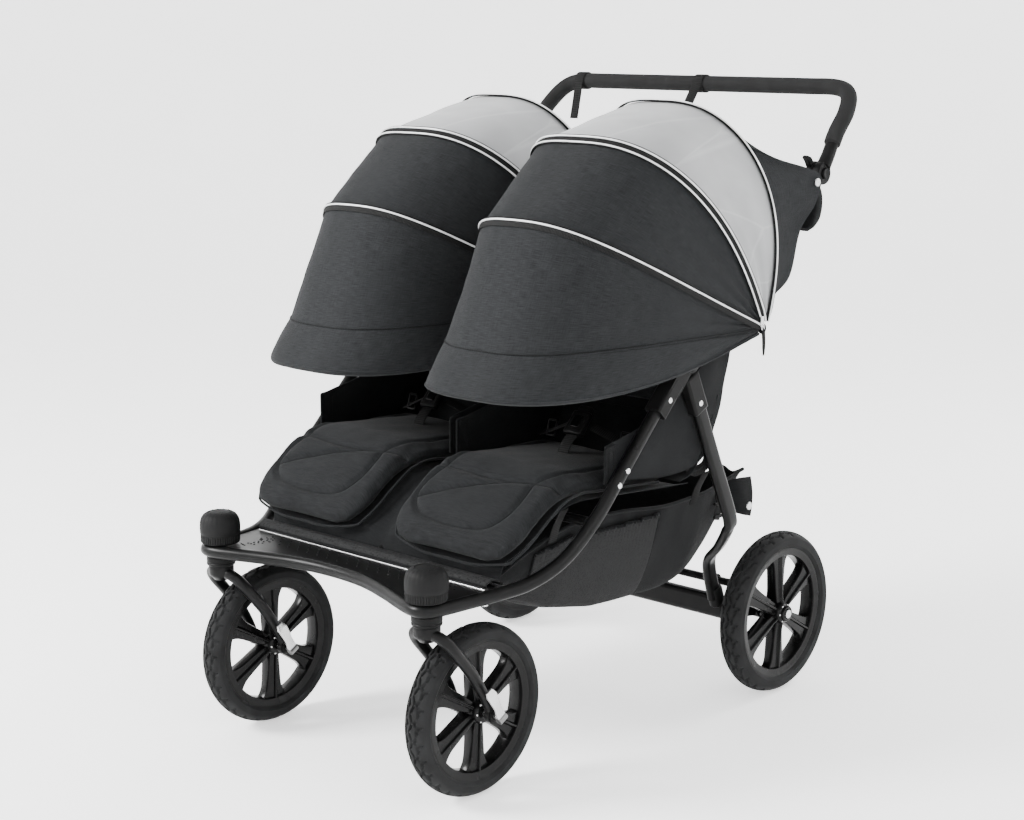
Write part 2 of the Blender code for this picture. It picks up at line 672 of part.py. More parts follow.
def make_backrests(mats):
    for side, s in SIDES:
        centre = s * SEAT_X
        origin = (0, RECLINE_Y, RECLINE_Z)
        frame = [
            (centre + 0.138, *back_point(0.0)),
            (centre + BACK_HALF, *back_point(0.09)),
            (centre + BACK_HALF, *back_point(0.36)),
            (centre + 0.135, *back_point(0.425)),
            (centre + 0.085, *back_point(0.452)),
            (centre, *back_point(0.456)),
        ]
        route = frame + [(2 * centre - x, y, z) for x, y, z in frame[-2::-1]]
        pieces = [tube(smooth_path(route, 3), 0.0060, 8)]
        hood = s * HOOD_X
        for reach in (1, -1):
            start = centre + reach * (BACK_HALF - 0.001)
            end = hood + reach * REAR_BOW[2]
            on_frame = back_point(0.178)
            pieces.append(rod((start, HOOD_Y, HOOD_Z), (end, HOOD_Y, HOOD_Z), 0.0030, 12))
            tab = [(on_frame[0] - 0.003, on_frame[1] - 0.006), (HOOD_Y + 0.006, HOOD_Z - 0.008)]
            tab += [(HOOD_Y + 0.006, HOOD_Z + 0.008), (on_frame[0] - 0.003, on_frame[1] + 0.010)]
            pieces.append(slab(tab, start - reach * 0.004, start + reach * 0.005, "x"))
        pieces.append(bow_strip(REAR_BOW, hood))
        pieces += bow_eyes(REAR_BOW, hood)
        joined(f"backrest_frame_{side}", pieces, mats["frame"], origin)

        rings = []
        for along, half, thick in PAD_STATIONS:
            low, high = back_point(along, PAD_LIFT), back_point(along, PAD_LIFT + thick)
            corners = ((half, low), (half - 0.01, high), (0.01 - half, high), (-half, low))
            rings.append([(centre + across, *point) for across, point in corners])
        make_object(f"backrest_pad_{side}", rings_to_mesh(rings), mats["pad"], origin)


def make_hoods(mats):
    origin = (0, HOOD_Y, HOOD_Z)
    for side, s in SIDES:
        hood = s * HOOD_X
        for name, bow in (("mid", MID_BOW), ("front", FRONT_BOW)):
            hole = rod((hood - 0.25, HOOD_Y, HOOD_Z), (hood + 0.25, HOOD_Y, HOOD_Z), 0.0036, 12)
            pieces = [bow_strip(bow, hood), *bow_eyes(bow, hood)]
            joined(f"hood_{name}_bow_{side}", pieces, mats["plastic"], origin, [hole])
        window = hood_sheet(REAR_BOW, MID_BOW, hood, along=2)
        centre_panel = hood_sheet(MID_BOW, FRONT_BOW, hood, along=2)
        visor = hood_sheet(FRONT_BOW, VISOR_EDGE, hood, along=3)
        make_object(f"hood_window_{side}", window, mats["window"], origin)
        make_object(f"hood_centre_panel_{side}", centre_panel, mats["canopy"], origin)
        make_object(f"hood_visor_{side}", visor, mats["canopy"], origin)


def make_seats(mats):
    # each station: y, height of the top, half width
    stations = [
        (-0.364, 0.372, 0.100),
        (-0.352, 0.394, 0.118),
        (-0.300, 0.448, 0.142),
        (-0.262, 0.482, 0.152),
        (-0.226, 0.495, 0.158),
        (-0.180, 0.496, 0.161),
        (0.030, 0.480, 0.163),
    ]
    for side, s in SIDES:
        centre = s * SEAT_X
        rings = []
        for i, (y, top, half) in enumerate(stations):
            thick = PAD_THICK if i else 0.018
            back = 0.016 if i < 5 else 0.0
            low = top - thick
            rings.append(
                [
                    (centre + half, y + back, low + 0.008),
                    (centre + half - 0.006, y, top - 0.004),
                    (centre + half * 0.6, y, top),
                    (centre - half * 0.6, y, top),
                    (centre - half + 0.006, y, top - 0.004),
                    (centre - half, y + back, low + 0.008),
                    (centre - half * 0.6, y + back, low),
                    (centre + half * 0.6, y + back, low),
                ]
            )
        make_object(f"seat_pad_{side}", rings_to_mesh(rings), mats["pad"])


def make_basket(mats):
    # each station: y, bottom height, rim height, half width at the bottom and at the rim
    stations = [
        (-0.335, 0.3100, 0.3440, 0.215, 0.245),
        (-0.285, 0.292, 0.380, 0.226, 0.266),
        (-0.200, 0.258, 0.412, 0.232, 0.284),
        (-0.100, 0.240, 0.418, 0.236, 0.292),
        (0.020, 0.227, 0.388, 0.238, 0.296),
        (0.130, 0.215, 0.388, 0.238, 0.294),
        (0.200, 0.296, 0.398, 0.226, 0.288),
        (0.258, 0.384, 0.408, 0.222, 0.282),
    ]
    grids = []
    for inset in (0.0, 0.0035):
        rows = []
        for k, (y, low, rim, wide_low, wide_rim) in enumerate(stations):
            floor = low + inset
            shift = inset * (1 if k == 0 else -1 if k == len(stations) - 1 else 0)
            a, b = wide_low - inset, wide_rim - inset
            half = [(0.0, floor), (a - 0.01, floor), (a + 0.012, floor + 0.02), (b, rim)]
            outline = [(-x, z) for x, z in half[:0:-1]] + half
            rows.append([(x, y + shift, z) for x, z in outline])
        grids.append(rows)
    make_object("basket", shell_between(*grids), mats["basket"])


def main():
    for obj in list(bpy.data.objects):
        bpy.data.objects.remove(obj)
    mats = make_materials()
    make_front_frame(mats)
    make_hinge_sockets(mats)
    make_casters(mats)
    make_rear(mats)
    make_upper(mats)
    make_handle(mats)
    make_backrests(mats)
    make_hoods(mats)
    make_seats(mats)
    make_basket(mats)


main()
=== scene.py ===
"""The looks of a side-by-side double jogging stroller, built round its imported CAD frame.

Metres, +Z up, front towards -Y, the children's left at +X. Each soft piece is made here, rides on a
CAD body and replaces the plain solid that stood for it.
"""

from math import atan2, cos, hypot, pi, radians, sin

import bmesh
import bpy
import numpy as np
from mathutils import Matrix, Vector, noise
from mathutils.bvhtree import BVHTree


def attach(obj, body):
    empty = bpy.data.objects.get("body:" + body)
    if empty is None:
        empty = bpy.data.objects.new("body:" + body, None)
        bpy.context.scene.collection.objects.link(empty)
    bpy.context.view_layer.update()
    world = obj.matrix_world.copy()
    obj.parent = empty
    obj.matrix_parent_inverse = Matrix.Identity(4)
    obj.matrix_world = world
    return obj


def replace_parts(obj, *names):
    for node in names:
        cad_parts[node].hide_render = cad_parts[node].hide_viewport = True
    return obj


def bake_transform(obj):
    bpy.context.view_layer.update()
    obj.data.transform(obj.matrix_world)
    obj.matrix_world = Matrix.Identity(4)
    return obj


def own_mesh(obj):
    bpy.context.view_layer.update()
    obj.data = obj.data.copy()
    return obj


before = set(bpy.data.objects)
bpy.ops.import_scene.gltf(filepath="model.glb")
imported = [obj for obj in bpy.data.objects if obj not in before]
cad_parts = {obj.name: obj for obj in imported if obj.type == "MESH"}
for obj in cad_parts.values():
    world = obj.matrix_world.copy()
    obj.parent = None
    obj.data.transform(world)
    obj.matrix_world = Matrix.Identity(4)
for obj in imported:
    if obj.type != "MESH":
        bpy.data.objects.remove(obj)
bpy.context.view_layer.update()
SIDES = (("left", 1), ("right", -1))

# --- dimensions shared with the CAD --------------------------------------------------------------
FRAME_X, FRAME_R, UPPER_R, LOOP_Z = 0.3525, 0.011, 0.0125, 0.335
HINGE, JOINT = (0.012, 0.668), (0.392, 0.955)  # (y, z) of the fold axis and the handle's axis
FRONT_ANGLE, LEG_ANGLE = radians(225.5), radians(-65.0)
CASTER_X, CASTER_Y = 0.249, -0.4933
FRONT_WHEEL, FRONT_WHEEL_R = (-0.390, 0.1416), 0.1416
REAR_WHEEL_X, REAR_WHEEL, REAR_WHEEL_R = 0.3211, (0.342, 0.150), 0.150
TYRE_HALF_WIDTH, RIM_SHARE, SPOKES = 0.0235, 0.795, 6
HANDLE_Y, HANDLE_Z, HANDLE_R, GRIP_R = 0.5166, 1.102, 0.0074, 0.0150
SEAT_X, BACK_HALF = 0.174, 0.150
BACK_LOW, BACK_HIGH = (0.085, 0.552), (0.332, 0.925)
HOOD_X, HOOD_Y, HOOD_Z = 0.191, 0.205, 0.700
# each hood arch: lean forward from upright, length, half width, squareness, bend of its sides
REAR_BOW = (radians(10.0), 0.388, 0.1855, 3.0, 0.060)
MID_BOW = (radians(41.0), 0.432, 0.1855, 3.1, 0.032)
FRONT_BOW = (radians(65.0), 0.480, 0.1855, 2.75, -0.007)
VISOR_SEAM = (radians(89.4), 0.520, 0.1855, 3.0, 0.005)
VISOR_BRIM = (radians(93.4), 0.547, 0.1860, 3.2, -0.012)
VISOR_EDGE = (radians(96.0), 0.566, 0.1865, 3.2, -0.023)
VISOR_HEM = (radians(97.2), 0.552, 0.1800, 3.2, -0.023)


# --- camera, light and floor ---------------------------------------------------------------------
CAMERA_PLACE = (2.228, -2.461, 1.212)
CAMERA_TURN = (pi / 2 - 0.2008, 0.0, 0.7412)
LENS, SENSOR = 66.45, 36.0
LIGHT_AIM = (0, 0, 0.55)
SKY_STRENGTH, PAPER_GLOW = 1.1, 0.85
# the floor's flat radius, the radius of its bend and the height of its rim
FLOOR_FLAT, FLOOR_BEND, FLOOR_WALL = 6.0, 3.0, 7.0


def make_camera():
    data = bpy.data.cameras.new("camera")
    data.lens, data.sensor_width = LENS, SENSOR
    camera = bpy.data.objects.new("camera", data)
    camera.location = CAMERA_PLACE
    camera.rotation_euler = CAMERA_TURN
    bpy.context.scene.collection.objects.link(camera)
    bpy.context.scene.camera = camera


def area_light(name, place, size, power):
    data = bpy.data.lights.new(name, "AREA")
    data.energy, data.size = power, size
    lamp = bpy.data.objects.new(name, data)
    lamp.location = place
    aim = Vector(LIGHT_AIM) - Vector(place)
    lamp.rotation_euler = aim.to_track_quat("-Z", "Y").to_euler()
    bpy.context.scene.collection.objects.link(lamp)


def make_studio():
    world = bpy.data.worlds.new("studio")
    world.use_nodes = True
    sky = world.node_tree.nodes["Background"]
    sky.inputs["Color"].default_value = (1.0, 1.0, 1.0, 1.0)
    sky.inputs["Strength"].default_value = SKY_STRENGTH
    bpy.context.scene.world = world
    area_light("key", (-2.2, -3.2, 2.8), 1.4, 430)
    area_light("fill", (3.0, -1.0, 2.4), 2.2, 25)
    area_light("rim", (1.0, 3.2, 2.8), 1.6, 80)
    points, faces, steps = [(0.0, 0.0, 0.0)], [], 96
    bend = [
        (FLOOR_FLAT + FLOOR_BEND * sin(a), FLOOR_BEND - FLOOR_BEND * cos(a))
        for a in np.linspace(0.1, pi / 2, 14)
    ]
    rings = [(FLOOR_FLAT, 0.0), *bend, (FLOOR_FLAT + FLOOR_BEND, FLOOR_WALL)]
    for radius, height in rings:
        for k in range(steps):
            points.append((radius * cos(2 * pi * k / steps), radius * sin(2 * pi * k / steps), height))
    faces += [(0, 1 + k, 1 + (k + 1) % steps) for k in range(steps)]
    for ring in range(len(rings) - 1):
        for k in range(steps):
            a, b = 1 + ring * steps + k, 1 + ring * steps + (k + 1) % steps
            faces.append((a, a + steps, b + steps, b))
    mesh = bpy.data.meshes.new("floor")
    mesh.from_pydata(points, [], faces)
    mesh.shade_smooth()
    floor = bpy.data.objects.new("floor", mesh)
    floor.location.z = -0.0005
    paper = Look("paper", 0.9, Emission_Color=(1, 1, 1, 1), Emission_Strength=PAPER_GLOW)
    paper.colour(paper.ramp(paper.noise(3.0), ((0.3, (0.93, 0.93, 0.93)), (0.7, (0.96, 0.96, 0.96)))))
    mesh.materials.append(paper.mat)
    bpy.context.scene.collection.objects.link(floor)


# --- materials -----------------------------------------------------------------------------------
WAVE_UNIT = 0.314159  # the period in metres of Blender's wave texture at scale 1


class Look:
    """A Principled material and short ways to write its nodes."""

    def __init__(self, name, roughness, metallic=0.0, **sockets):
        self.mat = bpy.data.materials.new(name)
        self.mat.use_nodes = True
        self.tree = self.mat.node_tree
        self.shader = self.tree.nodes["Principled BSDF"]
        self.shader.inputs["Roughness"].default_value = roughness
        self.shader.inputs["Metallic"].default_value = metallic
        for socket, value in sockets.items():
            self.shader.inputs[socket.replace("_", " ")].default_value = value
        self.coords = self.tree.nodes.new("ShaderNodeTexCoord")
        self.relief = None

    def add(self, kind, inputs, **settings):
        node = self.tree.nodes.new("ShaderNode" + kind)
        for key, value in settings.items():
            setattr(node, key, value)
        for key, value in inputs.items():
            if isinstance(value, bpy.types.NodeSocket):
                self.tree.links.new(value, node.inputs[key])
            else:
                node.inputs[key].default_value = value
        return node

    def place(self, stretch, space):
        source = self.coords.outputs[space]
        return self.add("Mapping", {"Vector": source, "Scale": stretch}).outputs["Vector"]

    def noise(self, scale, stretch=(1, 1, 1), space="Object", detail=3.0):
        where = {"Vector": self.place(stretch, space), "Scale": scale, "Detail": detail}
        return self.add("TexNoise", where).outputs["Fac"]

    def ribs(self, period, along="X", space="UV", wobble=0.0):
        """Parallel ribs, one every period metres."""
        where = {"Vector": self.place((1, 1, 1), space), "Scale": WAVE_UNIT / period}
        where |= {"Distortion": wobble, "Detail": 1.0}
        return self.add("TexWave", where, bands_direction=along).outputs["Fac"]

    def cells(self, scale, stretch=(1, 1, 1), space="Object", feature="F1"):
        where = {"Vector": self.place(stretch, space), "Scale": scale}
        return self.add("TexVoronoi", where, feature=feature).outputs["Distance"]

    def ramp(self, value, stops):
        node = self.add("ValToRGB", {"Fac": value})
        for i, (at, shade) in enumerate(stops):
            stop = node.color_ramp.elements[i] if i < 2 else node.color_ramp.elements.new(at)
            stop.position, stop.color = at, (*shade, 1.0)
        return node.outputs["Color"]

    def mix(self, blend, a, b, amount=1.0):
        node = self.add("MixRGB", {"Color1": a, "Color2": b, "Fac": amount}, blend_type=blend)
        return node.outputs["Color"]

    def colour(self, value):
        self.tree.links.new(value, self.shader.inputs["Base Color"])

    def rough(self, value, low, high):
        spread = {"Value": value, "To Min": low, "To Max": high}
        node = self.add("MapRange", spread)
        self.tree.links.new(node.outputs["Result"], self.shader.inputs["Roughness"])

    def bump(self, height, distance, strength=1.0):
        inputs = {"Height": height, "Distance": distance, "Strength": strength}
        if self.relief:
            inputs["Normal"] = self.relief
        self.relief = self.add("Bump", inputs).outputs["Normal"]
        self.tree.links.new(self.relief, self.shader.inputs["Normal"])


def grey(value, tint=0.0):
    """A grey, bluer as the tint rises."""
    return (value, value * (1 + tint / 2), value * (1 + tint))


def woven(name, dark, light, period=0.0016, tint=0.12, space="UV", streak=1.0):
    """Melange cloth: fine plain weave, streaks along the weft and a soft mottle."""
    look = Look(name, 0.88, Sheen_Weight=0.03, Sheen_Roughness=0.5, Specular_IOR_Level=0.06)
    threads = look.noise(900, (0.06, 1, 0.06 if space == "Object" else 1), space, 2.0)
    across = look.noise(700, (1, 0.08, 1), space, 2.0)
    mottle = look.noise(26, (1, 1, 1), space)
    fine = look.ramp(threads, ((0.30, grey(dark * 0.72, tint)), (0.72, grey(light * 1.15, tint))))
    warp = look.ramp(across, ((0.30, grey(dark, tint)), (0.75, grey(light, tint))))
    body = look.mix("MIX", fine, warp, 0.42)
    shade = look.ramp(mottle, ((0.25, grey(0.80)), (0.75, grey(1.0))))
    look.colour(look.mix("MULTIPLY", body, shade, 0.8 * streak))
    look.rough(mottle, 0.80, 0.94)
    look.bump(look.ribs(period, "X", space), 0.00022, 0.55)
    look.bump(look.ribs(period, "Y", space), 0.00022, 0.55)
    look.bump(look.noise(150, (1, 1, 1), space), 0.0005, 0.35)
    return look.mat


def mesh_cloth(name, shade, period):
    """Knitted mesh: rows of small dark holes."""
    look = Look(name, 0.8, Specular_IOR_Level=0.08)
    holes = look.cells(1 / period, (1, 1, 1), "UV")
    strand = look.ramp(holes, ((0.18, grey(shade * 0.25)), (0.42, grey(shade, 0.03))))
    look.colour(strand)
    look.bump(holes, 0.0006, 0.9)
    look.bump(look.noise(60, (1, 1, 1), "UV"), 0.001, 0.4)
    return look.mat


def make_window_cloth():
    look = Look("window_mesh", 0.55, Sheen_Weight=0.25, Alpha=0.93)
    crease = look.cells(7, (1.0, 0.28, 1), "UV", "DISTANCE_TO_EDGE")
    shade = look.ramp(look.noise(7, (1, 1, 1), "UV"), ((0.3, grey(0.22, 0.04)), (0.75, grey(0.31, 0.03))))
    # Painted highlight: the crease lines are screened lighter over the mesh colour, standing in for light
    # caught along each crease. The bump below gives the creases their relief.
    line = look.ramp(crease, ((0.0, grey(0.5)), (0.020, grey(0.0))))
    look.colour(look.mix("SCREEN", shade, line, 0.13))
    look.bump(look.cells(700, (1, 1, 1), "UV"), 0.0003, 0.5)
    look.bump(crease, 0.003, 0.42)
    return look.mat


def moulded(name, value, roughness, grain=900, depth=0.00012, coat=0.0, metallic=0.0, shine=0.5):
    """Moulded or coated surface: fine grain, faint scuffs and uneven gloss."""
    look = Look(name, roughness, metallic, Coat_Weight=coat, Coat_Roughness=0.12, Specular_IOR_Level=shine)
    scuff = look.noise(45, (1, 1, 0.4), detail=6.0)
    stops = ((0.35, grey(value)), (0.66, grey(value * 1.25, 0.02)), (0.80, grey(value * 2.2, 0.02)))
    look.colour(look.ramp(scuff, stops))
    look.rough(scuff, roughness - 0.05, roughness + 0.12)
    look.bump(look.noise(grain, detail=2.0), depth, 0.6)
    return look.mat


def metal(name, value, roughness, tint=(1, 1, 1), stretch=(1, 12, 1)):
    look = Look(name, roughness, 1.0)
    brushed = look.noise(260, stretch)
    low, high = ([value * k * c for c in tint] for k in (0.85, 1.05))
    look.colour(look.ramp(brushed, ((0.3, low), (0.7, high))))
    look.rough(brushed, roughness - 0.05, roughness + 0.1)
    look.bump(brushed, 0.00008, 0.5)
    return look.mat


def make_tyre_rubber():
    look = Look("tyre_rubber", 0.66, Specular_IOR_Level=0.10)
    dust = look.noise(30, detail=6.0)
    look.colour(look.ramp(dust, ((0.35, grey(0.007, 0.03)), (0.75, grey(0.014, 0.05)))))
    look.rough(dust, 0.60, 0.80)
    look.bump(look.noise(420), 0.0003, 0.5)
    return look.mat


def make_zip_tape():
    look = Look("zip_tape", 0.7, Specular_IOR_Level=0.08)
    teeth = look.ribs(0.0024, "X", "UV")
    look.colour(look.ramp(teeth, ((0.35, grey(0.004)), (0.8, grey(0.014)))))
    look.bump(teeth, 0.0006, 0.8)
    return look.mat


def make_webbing():
    look = Look("webbing", 0.8, Specular_IOR_Level=0.08)
    ribs = look.ribs(0.0022, "Y", "UV")
    chevron = look.ribs(0.0018, "DIAGONAL", "UV")
    look.colour(look.ramp(chevron, ((0.3, grey(0.005)), (0.8, grey(0.013)))))
    look.bump(ribs, 0.0004, 0.8)
    look.bump(chevron, 0.0002, 0.6)
    return look.mat


def make_footplate_look():
    look = Look("footplate_gloss", 0.34, Specular_IOR_Level=0.12)
    look.colour(look.ramp(look.noise(40), ((0.3, grey(0.003)), (0.8, grey(0.006)))))
    look.bump(look.noise(500), 0.0001, 0.4)
    return look.mat


def make_looks():
    return {
        "canopy": woven("canopy_weave", 0.009, 0.021),
        "pad": woven("pad_weave", 0.006, 0.014, 0.0013, space="Object"),
        "lining": woven("lining_weave", 0.005, 0.010),
        "basket": woven("basket_nylon", 0.003, 0.007, 0.0011),
        "window": make_window_cloth(),
        "pocket": mesh_cloth("pocket_mesh", 0.014, 0.0026),
        "strip": mesh_cloth("footrest_mesh", 0.015, 0.0042),
        "webbing": make_webbing(),
        "zip": make_zip_tape(),
        "thread": woven("seam_thread", 0.004, 0.009, 0.0008, space="Object"),
        "piping": moulded("reflective_piping", 0.55, 0.40, 1500, 0.0001, metallic=0.2),
        "binding": woven("dark_binding", 0.004, 0.008, 0.001),
        "frame": moulded("satin_black_frame", 0.003, 0.28, 700, 0.00008, shine=0.11),
        "plastic": moulded("black_plastic", 0.004, 0.40, shine=0.08),
        "gloss": moulded("gloss_black_plastic", 0.002, 0.22, 220, 0.00006, coat=0.02, shine=0.12),
        "rubber": moulded("knob_rubber", 0.006, 0.55, 1100, 0.0002, shine=0.08),
        "foam": moulded("grip_foam", 0.012, 0.80, 1500, 0.0004, shine=0.08),
        "footplate": make_footplate_look(),
        "tyre": make_tyre_rubber(),
        "steel": metal("bright_steel", 0.62, 0.24),
        "dark_steel": metal("dark_steel", 0.20, 0.34),
        "brass": metal("brass", 0.75, 0.28, (1.0, 0.72, 0.34)),
    }


make_camera()
LOOKS = make_looks()


# --- mesh building -------------------------------------------------------------------------------
def unit(vectors):
    vectors = np.asarray(vectors, float)
    return vectors / np.maximum(np.linalg.norm(vectors, axis=-1, keepdims=True), 1e-12)


def finish(name, points, faces, look, body, uv=None, sharp=40.0):
    mesh = bpy.data.meshes.new(name)
    mesh.from_pydata([tuple(p) for p in points], [], faces)
    if uv is not None:
        layer = mesh.uv_layers.new(name="UVMap")
        corners = np.array([loop.vertex_index for loop in mesh.loops])
        layer.data.foreach_set("uv", np.asarray(uv, np.float32)[corners].ravel())
    made = bmesh.new()
    made.from_mesh(mesh)
    bmesh.ops.recalc_face_normals(made, faces=made.faces)
    made.to_mesh(mesh)
    made.free()
    mesh.materials.append(LOOKS[look])
    mesh.shade_smooth()
    mesh.set_sharp_from_angle(angle=radians(sharp))
    obj = bpy.data.objects.new(name, mesh)
    bpy.context.scene.collection.objects.link(obj)
    if body:
        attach(obj, body)
    return obj


def curve_through(points, count):
    """Evenly spaced points on the Catmull-Rom curve through the given ones."""
    p = np.array(points, float)
    ends = np.vstack([2 * p[0] - p[1], p, 2 * p[-1] - p[-2]])
    t = np.linspace(0, 1, 16, endpoint=False)[:, None]
    fine = []
    for a, b, c, d in zip(ends, ends[1:], ends[2:], ends[3:]):
        square, cube = 2 * a - 5 * b + 4 * c - d, 3 * b - 3 * c + d - a
        fine.append(0.5 * (2 * b + (c - a) * t + square * t**2 + cube * t**3))
    return evenly(np.vstack([*fine, p[-1:]]), count)


def evenly(path, count):
    run = np.concatenate([[0], np.cumsum(np.linalg.norm(np.diff(path, axis=0), axis=1))])
    at = np.linspace(0, run[-1], count)
    return np.stack([np.interp(at, run, path[:, k]) for k in range(path.shape[1])], 1)


def circle(radius, sides=20, squash=1.0):
    turn = 2 * pi * np.arange(sides) / sides
    return np.stack([radius * np.cos(turn), radius * squash * np.sin(turn)], 1)


def rounded_box(half_a, half_b, corner, steps=5):
    turn = np.concatenate([q * pi / 2 + np.linspace(0, pi / 2, steps) for q in range(4)])
    sa = np.repeat([1, -1, -1, 1], steps)
    sb = np.repeat([1, 1, -1, -1], steps)
    a = sa * (half_a - corner) + corner * np.cos(turn)
    return np.stack([a, sb * (half_b - corner) + corner * np.sin(turn)], 1)


def sweep(path, section, scale=None, up=(0, 0, 1)):
    """Rings of a section carried along a path without twist."""
    path = np.asarray(path, float)
    ahead = unit(np.gradient(path, axis=0))
    side = np.cross(ahead[0], up)
    rings = []
    for i, (point, tangent) in enumerate(zip(path, ahead)):
        side = unit(side - tangent * side.dot(tangent))
        over = np.cross(side, tangent)
        size = 1.0 if scale is None else scale[i]
        rings.append(point + size * (section[:, :1] * side + section[:, 1:] * over))
    return np.array(rings)


def skin(name, rings, look, body, loop=False, sharp=40.0):
    """A closed tube-like surface through rings of points, with UVs in metres."""
    rings = np.asarray(rings)
    n, m = rings.shape[:2]
    round_about = np.linalg.norm(np.roll(rings, -1, 1) - rings, axis=2).cumsum(1)
    forward = np.linalg.norm(np.diff(rings, axis=0), axis=2).mean(1)
    forward = np.concatenate([[0], forward.cumsum()])
    uv = np.stack([np.repeat(forward, m), round_about.ravel()], 1)
    faces = []
    for i in range(n if loop else n - 1):
        for j in range(m):
            a, b = i * m, (i + 1) % n * m
            k = (j + 1) % m
            faces.append((a + j, a + k, b + k, b + j))
    if not loop:
        faces += [tuple(range(m)), tuple(range((n - 1) * m, n * m))]
    return finish(name, rings.reshape(-1, 3), faces, look, body, uv, sharp)


def tube(name, path, radius, look, body, sides=20, squash=1.0, dome=0.35, up=(0, 0, 1)):
    """A round or flattened tube with slightly domed ends."""
    path = np.asarray(path, float)
    start, end = unit(path[0] - path[1]), unit(path[-1] - path[-2])
    lift = radius * dome
    caps = ((1.0, 0.35), (0.72, 0.75), (0.0, 1.0))
    head = [path[0] + start * lift * a for a, _ in caps]
    tail = [path[-1] + end * lift * a for a, _ in caps[::-1]]
    scale = [b for _, b in caps] + [1.0] * (len(path) - 2) + [b for _, b in caps[::-1]]
    route = np.vstack([head, path[1:-1], tail])
    return skin(name, sweep(route, circle(radius, sides, squash), scale, up), look, body)


def lathe(name, profile, centre, look, body, axis=(1, 0, 0), steps=64, shape=None, sharp=35.0):
    """A turned piece from (radius, along) points; shape may move points as f(radius, along, angle)."""
    turn = Vector((0, 0, 1)).rotation_difference(Vector(axis)).to_matrix()
    rings = []
    for i in range(steps):
        angle = 2 * pi * i / steps
        ring = []
        for radius, along in profile:
            if shape:
                radius, along = shape(radius, along, angle)
            ring.append(Vector(centre) + turn @ Vector((radius * cos(angle), radius * sin(angle), along)))
        rings.append(ring)
    return skin(name, rings, look, body, loop=True, sharp=sharp)


def plate(name, outline, low, high, look, body, axis="x", bevel=0.0012):
    """A flat bar or plate with rounded edges: the outline's two coordinates, extruded along axis."""
    order = {"x": (2, 0, 1), "y": (0, 2, 1), "z": (0, 1, 2)}[axis]
    rings = [[np.array([*p, h])[list(order)] for p in outline] for h in (low, high)]
    obj = skin(name, rings, look, body, sharp=30.0)
    soften(obj, bevel)
    return obj


def soften(obj, width, segments=3):
    step = obj.modifiers.new("edges", "BEVEL")
    step.width, step.segments, step.limit_method = width, segments, "ANGLE"
    step.angle_limit = radians(35)
    step.harden_normals = False


def grid_normals(grid):
    across = np.gradient(grid, axis=1)
    along = np.gradient(grid, axis=0)
    return unit(np.cross(across, along))


def cloth(name, grid, look, body, thick=0.0016):
    """A sheet of cloth through a grid of points, with both faces, a turned edge and UVs in metres."""
    grid = np.asarray(grid, float)
    n, m = grid.shape[:2]
    normal = grid_normals(grid)
    u = np.linalg.norm(np.diff(grid, axis=1), axis=2).cumsum(1)
    u = np.hstack([np.zeros((n, 1)), u])
    u = u - u[:, m // 2 : m // 2 + 1]
    v = np.linalg.norm(np.diff(grid, axis=0), axis=2).cumsum(0)
    v = np.vstack([np.zeros((1, m)), v])
    uv = np.stack([u, np.broadcast_to(v[:, m // 2 : m // 2 + 1], u.shape)], 2).reshape(-1, 2)
    faces = []
    for layer in (0, n * m):
        for i in range(n - 1):
            for j in range(m - 1):
                a = layer + i * m + j
                faces.append((a, a + 1, a + m + 1, a + m))
    edge = [(0, j) for j in range(m)] + [(i, m - 1) for i in range(1, n)]
    edge += [(n - 1, j) for j in range(m - 2, -1, -1)] + [(i, 0) for i in range(n - 2, 0, -1)]
    ring = [i * m + j for i, j in edge]
    for a, b in zip(ring, ring[1:] + ring[:1]):
        faces.append((a, b, b + n * m, a + n * m))
    points = np.vstack(
        [(grid + normal * thick / 2).reshape(-1, 3), (grid - normal * thick / 2).reshape(-1, 3)]
    )
    return finish(name, points, faces, look, body, np.vstack([uv, uv]), sharp=60.0)


def strap(name, path, width, look, body, thick=0.0018, face=(0, 0, 1)):
    """Flat webbing along a path; face is the way its flat side looks at the start."""
    section = rounded_box(width / 2, thick / 2, thick * 0.45, 3)
    ahead = unit(np.asarray(path[1], float) - np.asarray(path[0], float))
    up = np.asarray(face, float)
    up = up - ahead * up.dot(ahead)
    return skin(name, sweep(path, section, up=unit(up)), look, body, sharp=60.0)


def ripple(points, scale, amount, seed=0.0):
    """Smooth random offsets for points, the same on every run."""
    offset = Vector((seed, seed * 1.7, seed * 0.3))
    flat = np.asarray(points).reshape(-1, 3)
    values = [noise.noise(Vector(p) * scale + offset) for p in flat]
    return amount * np.array(values).reshape(np.asarray(points).shape[:-1])


def ray(origin, angle, distance):
    return origin[0] + distance * cos(angle), origin[1] + distance * sin(angle)


def bar_outline(origin, angle, start, end, half):
    a, b = ray(origin, angle, start), ray(origin, angle, end)
    dy, dz = -half * sin(angle), half * cos(angle)
    upper = [(a[0] + dy, a[1] + dz), (b[0] + dy, b[1] + dz)]
    return upper + [(b[0] - dy, b[1] - dz), (a[0] - dy, a[1] - dz)]


def rivet(name, centre, axis, body, radius=0.0045, look="steel"):
    """A low domed rivet head."""
    dome = [(radius * cos(a), radius * 0.45 * sin(a)) for a in np.linspace(0, pi / 2 - 0.05, 6)]
    profile = [(0.0004, -0.001), (radius, -0.001), *dome, (0.0004, radius * 0.45)]
    return lathe(name, profile, centre, look, body, axis, 24, sharp=60.0)


def snap(name, centre, axis, body, radius=0.0068):
    """A press stud: a rolled ring round a dished cap."""
    profile = [
        (0.0004, -0.001),
        (radius, -0.001),
        (radius, 0.0012),
        (radius * 0.90, 0.0021),
        (radius * 0.72, 0.0016),
        (radius * 0.5, 0.0018),
        (0.0004, 0.0022),
    ]
    return lathe(name, profile, centre, "steel", body, axis, 32, sharp=60.0)


